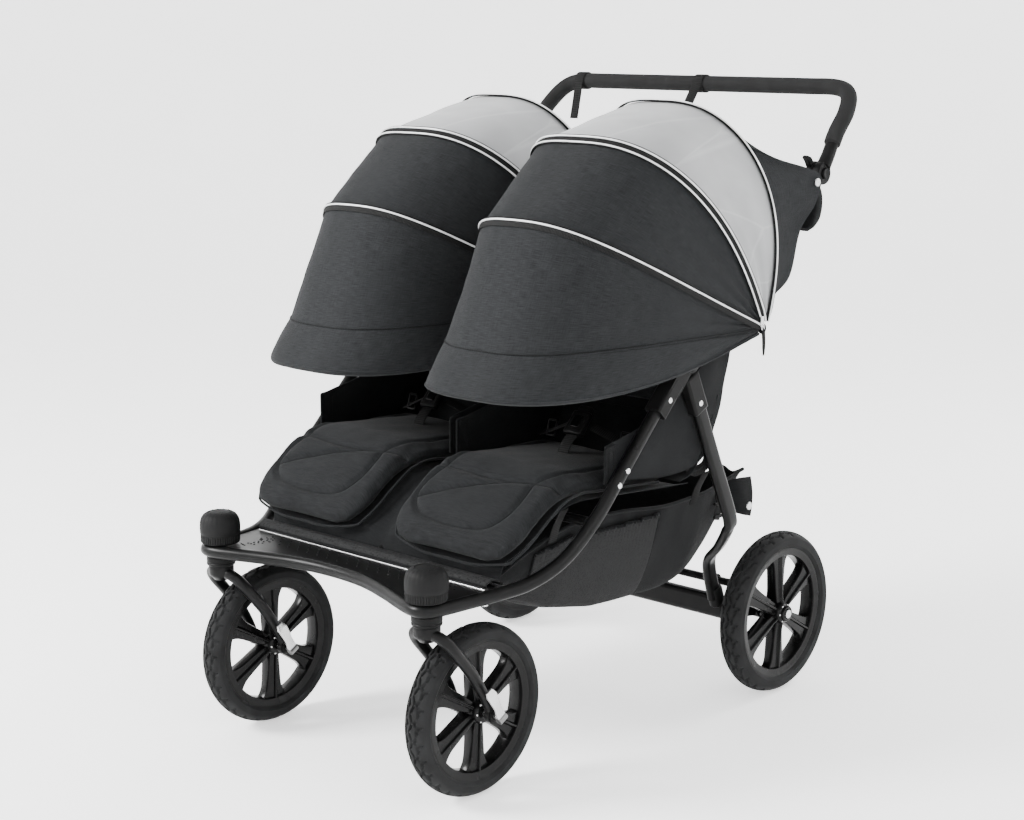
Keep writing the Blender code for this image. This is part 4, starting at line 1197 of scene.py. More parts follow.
def make_caster(side, s):
    x = s * CASTER_X
    axis, up = (x, CASTER_Y, 0), (0, 0, 1)
    body = f"caster_{side}"
    housing = [(0.0070, 0.3062), (0.0222, 0.3062), (0.0242, 0.3082), (0.0246, 0.3110), (0.0236, 0.3122)]
    housing += [(0.0236, 0.3134), (0.0246, 0.3146), (0.0246, 0.3205), (0.0238, 0.3232), (0.0080, 0.3236)]
    housing += [(0.0080, 0.3462), (0.0070, 0.3462)]
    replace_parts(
        lathe(f"bearing_housing_{side}", housing, axis, "plastic", "chassis", up, 96),
        f"caster_housing_{side}",
    )

    def fluted(radius, along, angle):
        if 0.3475 < along < 0.3612 and radius > 0.025:
            return radius - 0.0014 * max(0.0, cos(48 * angle)), along
        if 0.3830 < along < 0.3990 and radius > 0.019:
            return radius - 0.0004 * max(0.0, cos(24 * angle)), along
        return radius, along

    knob = [(0.0080, 0.3468), (0.0310, 0.3468), (0.0330, 0.3478), (0.0336, 0.3500), (0.0336, 0.3560)]
    knob += [(0.0338, 0.3608), (0.0332, 0.3616), (0.0332, 0.3628), (0.0342, 0.3638), (0.0346, 0.3700)]
    knob += [(0.0346, 0.3770), (0.0338, 0.3840), (0.0318, 0.3902), (0.0284, 0.3950), (0.0236, 0.3982)]
    knob += [(0.0186, 0.3997), (0.0182, 0.3988), (0.0120, 0.4002), (0.0060, 0.4007), (0.0004, 0.4008)]
    knob += [(0.0004, 0.3600), (0.0080, 0.3600)]
    made = lathe(f"lock_knob_{side}", knob, axis, "rubber", f"lock_knob_{side}", up, 224, fluted, 50)
    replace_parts(made, f"swivel_lock_knob_{side}")
    for i in range(12):
        a = 2 * pi * i / 12
        pip = (x + 0.0195 * cos(a), CASTER_Y + 0.0195 * sin(a), 0.3995)
        rivet(f"knob_pip{i}_{side}", pip, up, f"lock_knob_{side}", 0.0014, "rubber")

    crown = [(0.0004, 0.2800), (0.0120, 0.2805), (0.0160, 0.2850), (0.0205, 0.2890), (0.0216, 0.2925)]
    crown += [(0.0216, 0.3040), (0.0205, 0.3058), (0.0004, 0.3058)]
    fork = lathe(f"fork_crown_{side}", crown, axis, "frame", body, up, 64)
    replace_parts(fork, f"caster_fork_{side}")
    drop = FRONT_WHEEL[0] - CASTER_Y
    steps = [
        (0.0060, -0.002, 0.2925), (0.0200, 0.000, 0.2925), (0.0330, 0.0060, 0.2850),
        (0.0385, 0.0180, 0.2700),
    ]
    steps += [(0.0388, 0.0350, 0.2500), (FORK_HALF, 0.062, 0.2170), (FORK_HALF, 0.0850, 0.1810)]
    steps += [(FORK_HALF, drop - 0.006, 0.1560), (FORK_HALF, drop, FRONT_WHEEL_R)]
    for edge, lean in (("outer", 1), ("inner", -1)):
        path = curve_through([(x + lean * a, CASTER_Y + b, c) for a, b, c in steps], 70)
        size = np.interp(np.linspace(0, 1, 70), [0, 0.2, 0.7, 1.0], [0.95, 1.05, 0.98, 0.72])
        rings = sweep(path, circle(0.0096, 24), size, up=(1, 0, 0))
        skin(f"fork_arm_{edge}_{side}", rings, "frame", body)
        end = [
            (0.0004, -0.0054), (0.0118, -0.0054), (0.0126, -0.0046), (0.0126, 0.0042),
            (0.0118, 0.0050), (0.0004, 0.0050),
        ]
        lathe(
            f"fork_end_{edge}_{side}", end, (x + lean * 0.0393, *FRONT_WHEEL), "frame", body,
            (lean, 0, 0), 48,
        )
    make_lever(side, x)
    make_wheel(f"front_{side}", (x, *FRONT_WHEEL), FRONT_WHEEL_R, f"front_wheel_{side}", 1)


def make_lever(side, x):
    """The quick-release lever: a curved blade on a round cam, with a silver face."""
    y, z = FRONT_WHEEL
    angle = radians(119)
    pin = x + 0.0621
    body = f"release_lever_{side}"
    line = []
    for d, out in ((0.000, 0.0), (0.012, 0.0008), (0.028, 0.0022), (0.044, 0.0016), (0.060, -0.0010)):
        line.append((pin + out, *ray((y, z), angle, d)))
    path = curve_through(line, 40)
    size = np.interp(np.linspace(0, 1, 40), [0, 0.12, 0.4, 0.85, 1.0], [0.80, 1.0, 0.85, 1.15, 0.75])
    rings = sweep(path, rounded_box(0.0088, 0.0028, 0.0020, 5), size, up=(1, 0, 0))
    blade = skin(f"release_blade_{side}", rings, "steel", body)
    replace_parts(blade, f"quick_release_lever_{side}")
    along = (0, -sin(angle), cos(angle))
    cam = [
        (0.0004, -0.0088), (0.0052, -0.0088), (0.0058, -0.0080), (0.0058, 0.0080), (0.0052, 0.0088),
        (0.0004, 0.0088),
    ]
    lathe(f"release_cam_{side}", cam, (pin, y, z), "dark_steel", body, along, 40)
    washer = [(0.0052, 0.0), (0.0100, 0.0), (0.0108, 0.0012), (0.0100, 0.0036), (0.0052, 0.0040)]
    lathe(f"release_washer_{side}", washer, (x + 0.0446, y, z), "plastic", f"caster_{side}", (1, 0, 0), 40)


# --- wheels --------------------------------------------------------------------------------------
TREAD_DEPTH, TREAD_BLOCKS = 0.0034, 30


def tread_depth(across, angle):
    """Depth of the tyre's cut tread: dashed zig-zag grooves on both shoulders and along the middle."""
    pitch = 2 * pi / TREAD_BLOCKS
    place = (angle / pitch) % 1.0
    a = across / TYRE_HALF_WIDTH
    depth = 0.0
    zig = 0.16 * (abs(2 * place - 1) * 2 - 1)
    if abs(a - zig) < 0.075 and 0.12 < (angle / pitch * 2) % 1.0 < 0.88:
        depth = TREAD_DEPTH
    for sign in (1, -1):
        b = a * sign
        line = 0.42 + 0.11 * (abs(2 * ((place + 0.5) % 1.0) - 1) * 2 - 1)
        if abs(b - line) < 0.070 and 0.10 < (angle / pitch * 2 + 0.5) % 1.0 < 0.80:
            depth = TREAD_DEPTH
        slot_line = (place + 0.30 * (b - 0.55)) % 1.0
        if 0.50 < b < 0.80 and abs(slot_line - 0.25) < 0.075:
            depth = TREAD_DEPTH
    return depth


def make_wheel(name, centre, radius, body, outward):
    """An air-filled tyre with a cut tread, and a six-spoke moulded rim. outward is the hub cap's side."""
    seat = radius * RIM_SHARE
    w = TYRE_HALF_WIDTH
    part = name.split("_")
    section = [(seat + 0.0004, -0.0160), (seat + 0.0030, -0.0190), (seat + 0.0060, -0.0212)]
    section += [(seat + 0.0075, -0.0222), (seat + 0.0085, -0.0216)]
    crown_from = radians(-66)
    middle, rise = radius - w * 0.86, w * 0.86
    for a in np.linspace(crown_from, -crown_from, 44):
        section.append((middle + rise * cos(a), w * sin(a) / sin(-crown_from) * 0.985))
    section += [(seat + 0.0085, 0.0216), (seat + 0.0075, 0.0222), (seat + 0.0060, 0.0212)]
    section += [(seat + 0.0030, 0.0190), (seat + 0.0004, 0.0160)]

    def cut(r, along, angle):
        if r > seat + 0.012:
            return r - tread_depth(along, angle), along
        return r, along

    tyre = lathe(f"tyre_{name}", section, centre, "tyre", body, (1, 0, 0), 300, cut, 50)
    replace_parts(tyre, f"{part[0]}_tyre_{part[1]}")

    inner = seat - 0.0120
    ring = [
        (seat + 0.0010, -0.0172), (seat + 0.0030, -0.0168), (seat + 0.0030, -0.0150),
        (seat - 0.0006, -0.0140),
    ]
    ring += [
        (seat - 0.0006, 0.0140), (seat + 0.0030, 0.0150), (seat + 0.0030, 0.0168), (seat + 0.0010, 0.0172)
    ]
    ring += [(seat - 0.0030, 0.0164), (inner, 0.0150), (inner - 0.0014, 0.0120), (inner - 0.0022, 0.0)]
    ring += [(inner - 0.0014, -0.0120), (inner, -0.0150), (seat - 0.0030, -0.0164)]
    rim = lathe(f"rim_{name}", ring, centre, "gloss", body, (1, 0, 0), 120)
    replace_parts(rim, f"{part[0]}_rim_{part[1]}")
    hub = [(0.0060, -0.0250), (0.0150, -0.0250), (0.0172, -0.0235), (0.0190, -0.0190), (0.0205, -0.0120)]
    hub += [(0.0205, 0.0120), (0.0190, 0.0190), (0.0172, 0.0235), (0.0150, 0.0250), (0.0060, 0.0250)]
    lathe(f"hub_{name}", hub, centre, "gloss", body, (1, 0, 0), 72)
    for i in range(SPOKES):
        make_spoke(f"spoke{i}_{name}", centre, pi / 2 + 2 * pi * i / SPOKES, inner, body)
        for sign in (1, -1):
            spot = ray(centre[1:], pi / 2 + 2 * pi * (i + 0.5) / SPOKES, 0.0155)
            rivet(
                f"hub_screw{i}_{'a' if sign > 0 else 'b'}_{name}", (centre[0] + sign * 0.0238, *spot),
                (sign, 0, 0), body, 0.0021,
            )
    make_valve(f"valve_{name}", centre, inner, body)
    if part[0] == "rear":
        cap = [(0.0082, 0.0200), (0.0140, 0.0200), (0.0150, 0.0215), (0.0150, 0.0270), (0.0138, 0.0296)]
        cap += [(0.0110, 0.0302), (0.0098, 0.0296), (0.0092, 0.0270), (0.0082, 0.0262)]
        lathe(f"hub_cap_{name}", cap, centre, "gloss", body, (outward, 0, 0), 64)


def make_spoke(name, centre, angle, reach, body):
    """A wide channelled spoke: a ridge down the middle of a dished blade that flares into the rim."""
    x, y, z = centre
    stations = (
        (0.012, 0.0085, 0.0200),
        (0.022, 0.0105, 0.0190),
        (0.034, 0.0120, 0.0176),
        (0.055, 0.0138, 0.0164),
        (0.075, 0.0158, 0.0156),
        (reach - 0.014, 0.0190, 0.0150),
        (reach - 0.005, 0.0245, 0.0148),
        (reach + 0.003, 0.0330, 0.0145),
    )
    rings = []
    for r, half, depth in stations:
        root = ray((y, z), angle, r)
        flank = 0.0035
        section = [(-half, 0.45), (-half + 0.0012, 0.62), (-flank, 0.70), (-flank * 0.5, 0.98), (0.0, 1.0)]
        section += [(flank * 0.5, 0.98), (flank, 0.70), (half - 0.0012, 0.62), (half, 0.45)]
        loop = section + [(a, -b) for a, b in section[::-1]]
        rings.append([(x + b * depth, *ray(root, angle + pi / 2, a)) for a, b in loop])
    rings = np.array(rings)
    dense = np.array([curve_through(rings[:, j], 26) for j in range(rings.shape[1])]).transpose(1, 0, 2)
    obj = skin(name, dense, "gloss", body, sharp=38)
    soften(obj, 0.0007, 2)


def make_valve(name, centre, reach, body):
    x, y, z = centre
    angle = radians(22)
    spot = ray((y, z), angle, reach + 0.001)
    inward = (0.25, -cos(angle), -sin(angle))
    stem = [(0.0004, 0.0), (0.0042, 0.0), (0.0042, 0.0080), (0.0034, 0.0100), (0.0004, 0.0100)]
    lathe(f"{name}_base", stem, (x, *spot), "rubber", body, inward, 24)
    tip = [
        (0.0004, 0.0098), (0.0027, 0.0098), (0.0027, 0.0130), (0.0023, 0.0134), (0.0027, 0.0139),
        (0.0027, 0.0170),
    ]
    tip += [(0.0023, 0.0174), (0.0027, 0.0180), (0.0027, 0.0225), (0.0018, 0.0240), (0.0004, 0.0242)]
    lathe(f"{name}_tip", tip, (x, *spot), "brass", body, inward, 24)


# --- rear frame ----------------------------------------------------------------------------------
def make_rear(side, s):
    body = "rear_legs"
    route = [
        (s * FRAME_X, *ray(HINGE, LEG_ANGLE, 0.052)),
        (s * FRAME_X, *ray(HINGE, LEG_ANGLE, 0.200)),
        (s * FRAME_X, *ray(HINGE, LEG_ANGLE, 0.325)),
        (s * 0.340, 0.1625, 0.345),
        (s * 0.304, 0.188, 0.303),
        (s * 0.270, 0.208, 0.272),
        (s * 0.259, 0.222, 0.240),
        (s * 0.2575, 0.240, 0.1865),
    ]
    path = curve_through(route, 130)
    leg = skin(
        f"leg_{side}", sweep(path, rounded_box(0.0078, 0.0148, 0.0074, 7), up=(0, 1, 0)), "frame", body
    )
    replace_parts(leg, f"rear_leg_{side}")
    ear = [
        (0.0066, 0.0), (0.0185, 0.0), (0.0200, 0.0012), (0.0200, 0.0080), (0.0185, 0.0092),
        (0.0066, 0.0092),
    ]
    lathe(f"leg_ear_{side}", ear, (s * 0.3350, *HINGE), "plastic", body, (s, 0, 0), 48)
    outline = bar_outline(HINGE, LEG_ANGLE, 0.012, 0.075, 0.0125)
    plate(f"leg_plate_{side}", outline, s * 0.3355, s * 0.3438, "plastic", body, "x", 0.0012)
    outline = bar_outline(HINGE, LEG_ANGLE, 0.030, 0.104, 0.0180)
    plate(f"leg_socket_{side}", outline, s * 0.3385, s * 0.3618, "plastic", body, "x", 0.0050)
    rivet(f"leg_rivet_{side}", (s * 0.3614, *ray(HINGE, LEG_ANGLE, 0.086)), (s, 0, 0), body, 0.0052)
    foot = [
        (0.0004, -0.024), (0.0130, -0.024), (0.0145, -0.0225), (0.0145, 0.010), (0.0125, 0.0135),
        (0.0004, 0.0135),
    ]
    lathe(f"leg_foot_{side}", foot, (s * 0.2577, 0.243, 0.1935), "plastic", body, (0, -0.35, 1), 40)
    loop = [(s * 0.338, 0.040, 0.5300), (s * 0.334, 0.062, 0.5080), (s * 0.330, 0.052, 0.4800)]
    loop += [(s * 0.331, 0.074, 0.4640), (s * 0.335, 0.100, 0.4720), (s * 0.3395, 0.104, 0.4960)]
    path = curve_through(loop, 50)
    strap(f"fold_strap_{side}", path, 0.018, "webbing", body, face=(1, 0, 0))
    for k in (-1, 1):
        line = path + np.array([s * 0.0012, 0.0, 0.0])
        line[:, 1] += k * 0.0060
        tube(f"fold_strap_stitch{k + 1}_{side}", line[4:-4], 0.0004, "canopy", body, 6)


def make_brake():
    """The foot bar that locks both rear wheels, with a ribbed pedal pad."""
    for k in range(7):
        x = -0.042 + k * 0.014
        ridge = [(x, 0.312, 0.2128), (x, 0.330, 0.2156), (x, 0.342, 0.2138)]
        tube(f"brake_ridge{k}", curve_through(ridge, 12), 0.0022, "rubber", "brake", 8)
    for side, s in SIDES:
        collar = [
            (0.0076, -0.006), (0.0108, -0.006), (0.0116, -0.0045), (0.0116, 0.0045), (0.0108, 0.006),
            (0.0076, 0.006),
        ]
        lathe(f"brake_collar_{side}", collar, (s * 0.225, 0.287, 0.203), "plastic", "brake", (1, 0, 0), 40)
        hook = bar_outline((0.287, 0.203), radians(-128), 0.004, 0.036, 0.0060)
        plate(f"brake_link_{side}", hook, s * 0.2225, s * 0.2275, "dark_steel", "brake", "x", 0.0008)


def make_upper(side, s):
    reach = hypot(JOINT[0] - HINGE[0], JOINT[1] - HINGE[1])
    lean = atan2(JOINT[1] - HINGE[1], JOINT[0] - HINGE[0])
    body = "upper_frame"
    line = [(s * FRAME_X, *ray(HINGE, lean, d)) for d in np.linspace(0.0505, reach - 0.0505, 8)]
    pipe = tube(f"side_tube_{side}", np.array(line), UPPER_R, "frame", body, 28, dome=0.1)
    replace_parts(pipe, f"upper_tube_{side}")
    ear = [
        (0.0066, 0.0), (0.0188, 0.0), (0.0200, 0.0012), (0.0200, 0.0138), (0.0188, 0.0150),
        (0.0066, 0.0150),
    ]
    lathe(f"side_ear_{side}", ear, (s * 0.3452, *HINGE), "plastic", body, (s, 0, 0), 48)
    outline = bar_outline(HINGE, lean, 0.010, 0.072, 0.0120)
    plate(f"side_neck_{side}", outline, s * 0.3457, s * 0.3598, "plastic", body, "x", 0.0030)

    hub = [
        (0.0004, 0.3372), (0.0178, 0.3372), (0.0202, 0.3392), (0.0208, 0.3420), (0.0208, 0.3498),
        (0.0198, 0.3514), (0.0004, 0.3514),
    ]
    made = lathe(f"joint_hub_{side}", hub, (0, *JOINT), "plastic", body, (s, 0, 0), 64)
    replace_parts(made, f"handle_joint_{side}")
    outline = bar_outline(JOINT, lean + pi, 0.0, 0.052, 0.0150)
    plate(f"joint_neck_{side}", outline, s * 0.3376, s * 0.3511, "plastic", body, "x", 0.0032)
    outline = bar_outline(JOINT, lean + pi, 0.024, 0.062, 0.0156)
    plate(f"joint_socket_{side}", outline, s * 0.3370, s * 0.3680, "plastic", body, "x", 0.0048)
    rivet(f"joint_snap_{side}", (s * 0.3745, 0.3575, 0.9440), (s, 0, 0), body, 0.0002)
    make_trigger(side, s)


def make_trigger(side, s):
    """The hooked fold trigger on the joint's front."""
    corners = (
        (150, 0.0215), (136, 0.0222), (122, 0.0218), (117, 0.0262), (121, 0.0340), (131, 0.0432),
        (139, 0.0438), (140, 0.0330),
    )
    hook = [ray(JOINT, radians(angle), out) for angle, out in corners]
    body = f"fold_trigger_{side}"
    made = plate(f"trigger_{side}", hook, s * 0.3392, s * 0.3500, "plastic", body, "x", 0.0016)
    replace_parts(made, f"fold_trigger_{side}")


def handle_half():
    return [
        (0.0, HANDLE_Y, HANDLE_Z),
        (0.12, HANDLE_Y, HANDLE_Z),
        (0.24, HANDLE_Y, HANDLE_Z),
        (0.306, HANDLE_Y - 0.001, HANDLE_Z - 0.001),
        (0.338, HANDLE_Y - 0.012, HANDLE_Z - 0.013),
        (FRAME_X + 0.0005, HANDLE_Y - 0.040, HANDLE_Z - 0.042),
        (FRAME_X + 0.0035, 0.4410, 1.0240),
        (0.3598, 0.4130, 0.9880),
        (0.3598, JOINT[0] + 0.006, JOINT[1] + 0.012),
    ]


def make_handle():
    path = curve_through(mirrored(handle_half()), 300)
    bar = tube("push_bar", path, HANDLE_R, "frame", "handle", 20)
    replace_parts(bar, "handlebar")
    half = curve_through(handle_half(), 160)
    for side, s in SIDES:
        covered = half[(half[:, 2] > 1.004) & (half[:, 0] > 0.0015)] * np.array([s, 1, 1])
        grip = tube(f"grip_{side}", covered, GRIP_R, "foam", "handle", 28, dome=0.30)
        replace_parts(grip, f"handle_grip_{side}")
        low = half[(half[:, 2] <= 1.006)] * np.array([s, 1, 1])
        size = np.interp(np.linspace(0, 1, len(low)), [0, 0.10, 0.5, 1.0], [1.0, 1.02, 1.05, 1.12])
        arm = sweep(low, rounded_box(0.0092, 0.0118, 0.0085, 7), size, up=(1, 0, 0))
        skin(f"handle_arm_{side}", arm, "plastic", "handle")
        spot = low[len(low) // 3] + np.array([s * 0.0092, 0, 0])
        rivet(f"handle_rivet_{side}", spot, (s, 0, 0), "handle", 0.0036)
        hub = [(0.0090, 0.3522), (0.0185, 0.3522), (0.0198, 0.3534), (0.0202, 0.3560), (0.0202, 0.3640)]
        hub += [(0.0190, 0.3668), (0.0150, 0.3676), (0.0104, 0.3670), (0.0095, 0.3640), (0.0094, 0.3560)]
        lathe(f"handle_hub_{side}", hub, (0, *JOINT), "plastic", "handle", (s, 0, 0), 64)
        cap = [(0.0004, 0.3650), (0.0086, 0.3650), (0.0090, 0.3662), (0.0090, 0.3700), (0.0080, 0.3714)]
        cap += [(0.0050, 0.3709), (0.0004, 0.3706)]
        button = lathe(
            f"joint_button_{side}", cap, (0, *JOINT), "rubber", f"handle_button_{side}", (s, 0, 0), 48
        )
        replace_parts(button, f"handle_button_{side}")
    make_handle_straps()


def make_handle_straps():
    """Two cloth sleeves on the grip that carry the hoods' hanging tabs."""
    for name, x, slant in (("centre", 0.0, 0.03), ("side", -0.298, 0.0)):
        ring = []
        for a in np.linspace(radians(-100), radians(250), 40):
            ring.append((x, HANDLE_Y + (GRIP_R + 0.0014) * cos(a), HANDLE_Z + (GRIP_R + 0.0014) * sin(a)))
        strap(
            f"handle_wrap_{name}", ring, 0.024, "webbing", "handle", 0.0022,
            face=(0, cos(radians(-100)), sin(radians(-100))),
        )
        tail = [(x, HANDLE_Y - 0.0165, HANDLE_Z), (x - slant * 0.4, HANDLE_Y - 0.022, HANDLE_Z - 0.030)]
        tail += [(x - slant, HANDLE_Y - 0.032, HANDLE_Z - 0.075)]
        strap(
            f"handle_tail_{name}", curve_through(tail, 24), 0.020, "webbing", "handle", 0.0022,
            face=(0, -1, 0),
        )


# --- hood backs and seat backs -------------------------------------------------------------------
def make_back_frame(side, s):
    """The backrest's bent tube, and the rear bow it carries."""
    centre, hood, body = s * SEAT_X, s * HOOD_X, f"backrest_{side}"
    half = [
        (0.138, 0.0), (BACK_HALF, 0.09), (BACK_HALF, 0.36), (0.135, 0.425), (0.085, 0.452), (0.0, 0.456)
    ]
    route = [(centre + x, *back_point(along)) for x, along in half]
    route += [(centre - x, *back_point(along)) for x, along in half[-2::-1]]
    pipe = tube(f"back_tube_{side}", curve_through(route, 160), 0.0062, "frame", body, 16)
    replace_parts(pipe, f"backrest_frame_{side}")
    cloth(f"hood_rear_strip_{side}", band(REAR_BOW, hood, 0.012, -0.0042), "plastic", body, 0.0034)
    for reach in (1, -1):
        outer, inner = hood + reach * (REAR_BOW[2] - 0.006), centre + reach * (BACK_HALF - 0.002)
        y, z = back_point(0.178)
        arm = [(inner, y, z), (inner, (y + HOOD_Y) / 2, (z + HOOD_Z) / 2), (inner, HOOD_Y, HOOD_Z)]
        strap(
            f"hood_bracket{reach + 1}_{side}", curve_through(arm, 12), 0.016, "dark_steel", body,
            0.0030, (reach, 0, 0),
        )
        tube(
            f"hood_pin{reach + 1}_{side}", [(inner, HOOD_Y, HOOD_Z), (outer, HOOD_Y, HOOD_Z)], 0.0034,
            "steel", body, 16,
        )


def make_hood_back(side, s):
    """Cloth from the rear bow down to the backrest, the wing over the side tube, and the seat's back."""
    centre, hood, body = s * SEAT_X, s * HOOD_X, f"backrest_{side}"
    bow = arch(REAR_BOW, hood, 90, 0.0005, trim=0.02)
    if s < 0:
        bow = bow[::-1]
    lower = [
        (centre + s * 0.152, *back_point(0.19, -0.004)), (centre + s * 0.153, *back_point(0.30, -0.004))
    ]
    lower += [
        (centre + s * 0.151, *back_point(0.385, -0.008)), (centre + s * 0.132, *back_point(0.430, -0.012))
    ]
    lower += [(centre + s * 0.085, *back_point(0.446, -0.016)), (centre, *back_point(0.449, -0.018))]
    path = [*lower, *[(2 * centre - x, y, z) for x, y, z in lower[-2::-1]]]
    frame_line = curve_through(path, 90)
    rows = np.linspace(0, 1, 26)[:, None, None]
    grid = bow[None] * (1 - rows) + frame_line[None] * rows
    middle = grid.mean(axis=(0, 1))
    outward = unit(grid - middle)
    swell = 0.010 * np.sin(pi * rows) * np.sin(pi * np.linspace(0, 1, 90))[None, :, None]
    grid = grid + outward * (swell + ripple(grid, 11.0, 0.0035, 12.0 + s)[:, :, None] * np.sin(pi * rows))
    back = cloth(f"hood_back_{side}", grid, "canopy", body)

    shell = []
    for along in np.linspace(0.004, 0.462, 44):
        half = np.interp(
            along, [0.0, 0.09, 0.36, 0.42, 0.452, 0.462], [0.150, 0.158, 0.158, 0.142, 0.104, 0.084]
        )
        reach = np.interp(along, [0.0, 0.36, 0.462], [0.171, 0.171, half])
        row = []
        for u in np.linspace(-1, 1, 44):
            y, z = back_point(along, -0.0085 - 0.010 * (1 - u * u) * sin(pi * along / 0.462))
            row.append((centre + u * (half if u * s > 0 else reach), y, z))
        shell.append(row)
    shell = np.array(shell)
    shell = shell + grid_normals(shell) * ripple(shell, 14.0, 0.0022, 15.0 + s)[:, :, None]
    rear = cloth(f"seat_back_{side}", shell, "lining", body)
    for i, along in enumerate((0.15, 0.36)):
        line = []
        for u in np.linspace(-1, 1, 40):
            line.append(
                (
                    centre + u * 0.150,
                    *back_point(along, -0.0115 - 0.0105 * (1 - u * u) * sin(pi * along / 0.462)),
                )
            )
        strap(f"back_strap{i}_{side}", line, 0.022, "webbing", body, 0.0020, face=(0, 1, -0.6))
    vent = []
    for along in np.linspace(0.20, 0.33, 16):
        row = []
        for u in np.linspace(-0.72, 0.72, 40):
            y, z = back_point(along, -0.0112 - 0.010 * (1 - u * u) * sin(pi * along / 0.462))
            row.append((centre + u * 0.152, y, z))
        vent.append(row)
    panel = cloth(f"back_vent_{side}", vent, "pocket", body, 0.0012)
    make_wing(side, s)


def make_wing(side, s):
    """The cloth wing from the rear bow over the side tube, held by a press stud at the handle's joint."""
    hood = s * HOOD_X
    bow = arch(REAR_BOW, hood, 400, 0.0012, trim=0.012)
    outer = bow if s > 0 else bow[::-1]
    near = curve_through(outer[:150:6], 44)
    x = s * 0.3755
    far = [(s * 0.3800, 0.2020, 0.7200), (x, 0.2300, 0.7520), (x, 0.2790, 0.7850), (x, 0.3060, 0.8600)]
    far += [
        (x, 0.3480, 0.9000), (s * 0.3735, 0.3680, 0.9300), (s * 0.3730, 0.3690, 0.9540),
        (s * 0.3690, 0.3300, 0.9690),
    ]
    far += [(s * 0.3620, 0.2600, 0.9850), (s * 0.3480, 0.1960, 1.0080)]
    far = curve_through(far, 44)
    rows = np.linspace(0, 1, 20)[:, None, None]
    grid = near[None] * (1 - rows) + far[None] * rows
    out = np.array([s, 0.0, 0.0])
    pull = np.sin(pi * rows[:, :, 0]) * np.sin(pi * np.linspace(0, 1, 44))[None, :]
    folds = ripple(grid * np.array([1, 0.7, 1.6]), 15.0, 0.0042, 20.0 + s) - 0.0030
    grid = grid + out * (pull * folds)[:, :, None]
    wing = cloth(f"hood_wing_{side}", grid, "canopy", None)
    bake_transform(wing)
    snap(f"wing_snap_{side}", (s * 0.3752, 0.3570, 0.9420), (s, 0, 0), "upper_frame", 0.0074)
    make_pouch(side, s)


def make_pouch(side, s):
    """The small rolled cloth pouch behind the side tube."""
    line = curve_through([(0.352, 0.946), (0.378, 0.918), (0.376, 0.884), (0.352, 0.858)], 40)
    halves = np.full(40, 0.0150) * np.interp(np.linspace(0, 1, 40), [0, 0.1, 0.9, 1], [0.6, 1, 1, 0.6])
    thick = np.full(40, 0.0120) * np.interp(np.linspace(0, 1, 40), [0, 0.2, 0.7, 1], [0.45, 1, 1, 0.4])
    rings = pad_rings(line, halves, thick) + np.array([s * 0.3530, 0, 0])
    pouch = skin(f"frame_pouch_{side}", rings, "lining", "upper_frame")


# --- basket --------------------------------------------------------------------------------------
BASKET = (
    (-0.335, 0.3100, 0.3440, 0.215, 0.245),
    (-0.285, 0.2920, 0.3800, 0.226, 0.266),
    (-0.200, 0.2580, 0.4120, 0.232, 0.284),
    (-0.100, 0.2380, 0.4160, 0.236, 0.292),
    (0.020, 0.2290, 0.4040, 0.238, 0.296),
    (0.130, 0.2260, 0.4040, 0.236, 0.294),
    (0.205, 0.2380, 0.4080, 0.224, 0.284),
    (0.258, 0.2900, 0.4140, 0.220, 0.278),
    (0.286, 0.3480, 0.4180, 0.220, 0.274),
    (0.298, 0.3960, 0.4200, 0.220, 0.274),
)


def basket_section(low, rim, wide_low, wide_rim, count=101):
    half = [
        (0.0, low), (wide_low * 0.5, low + 0.001), (wide_low - 0.020, low + 0.004),
        (wide_low + 0.008, low + 0.024),
    ]
    half += [((wide_low + wide_rim) / 2 + 0.006, (low + rim) / 2), (wide_rim, rim)]
    full = [(-x, z) for x, z in half[:0:-1]] + half
    return curve_through(full, count)


def make_basket():
    stations = curve_through(BASKET, 70)
    grid = []
    for y, low, rim, wide_low, wide_rim in stations:
        section = basket_section(low, rim, wide_low, wide_rim)
        grid.append([(x, y, z) for x, z in section])
    grid = np.array(grid)
    inner = np.sin(pi * np.linspace(0, 1, 70))[:, None]
    depth = np.abs(np.linspace(-1, 1, 101))[None, :]
    folds = ripple(grid * np.array([1, 1, 0.5]), 13.0, 0.0055, 30.0) * inner
    folds = folds + ripple(grid * np.array([1, 2.2, 0.3]), 22.0, 0.0020, 33.0) * inner * depth
    grid = grid + grid_normals(grid) * folds[:, :, None]
    shell = cloth("basket_cloth", grid, "basket", None, 0.0024)
    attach(shell, "chassis")
    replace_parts(shell, "basket")
    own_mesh(shell)
    for name, edge in (("left", grid[:, -1]), ("right", grid[:, 0])):
        tube(f"basket_rim_{name}", curve_through(edge[::4], 120), 0.0032, "binding", "chassis", 12)
    for name, edge in (("front", grid[0]), ("rear", grid[-1])):
        tube(f"basket_rim_{name}", curve_through(edge[::5], 90), 0.0030, "binding", "chassis", 12)
    for side, s in SIDES:
        make_pocket(side, s)
        make_basket_flap(side, s)
    for side, s in SIDES:
        for i, y in enumerate((-0.235, 0.120)):
            z = float(np.interp(y, stations[:, 0], stations[:, 2]))
            wide = float(np.interp(y, stations[:, 0], stations[:, 4]))
            loop = [
                (s * wide, y, z - 0.012), (s * (wide + 0.010), y, z + 0.018),
                (s * (wide + 0.030), y - 0.004, z + 0.050),
            ]
            strap(
                f"basket_hanger{i}_{side}", curve_through(loop, 20), 0.020, "webbing", "chassis",
                face=(s, 0, 0.3),
            )


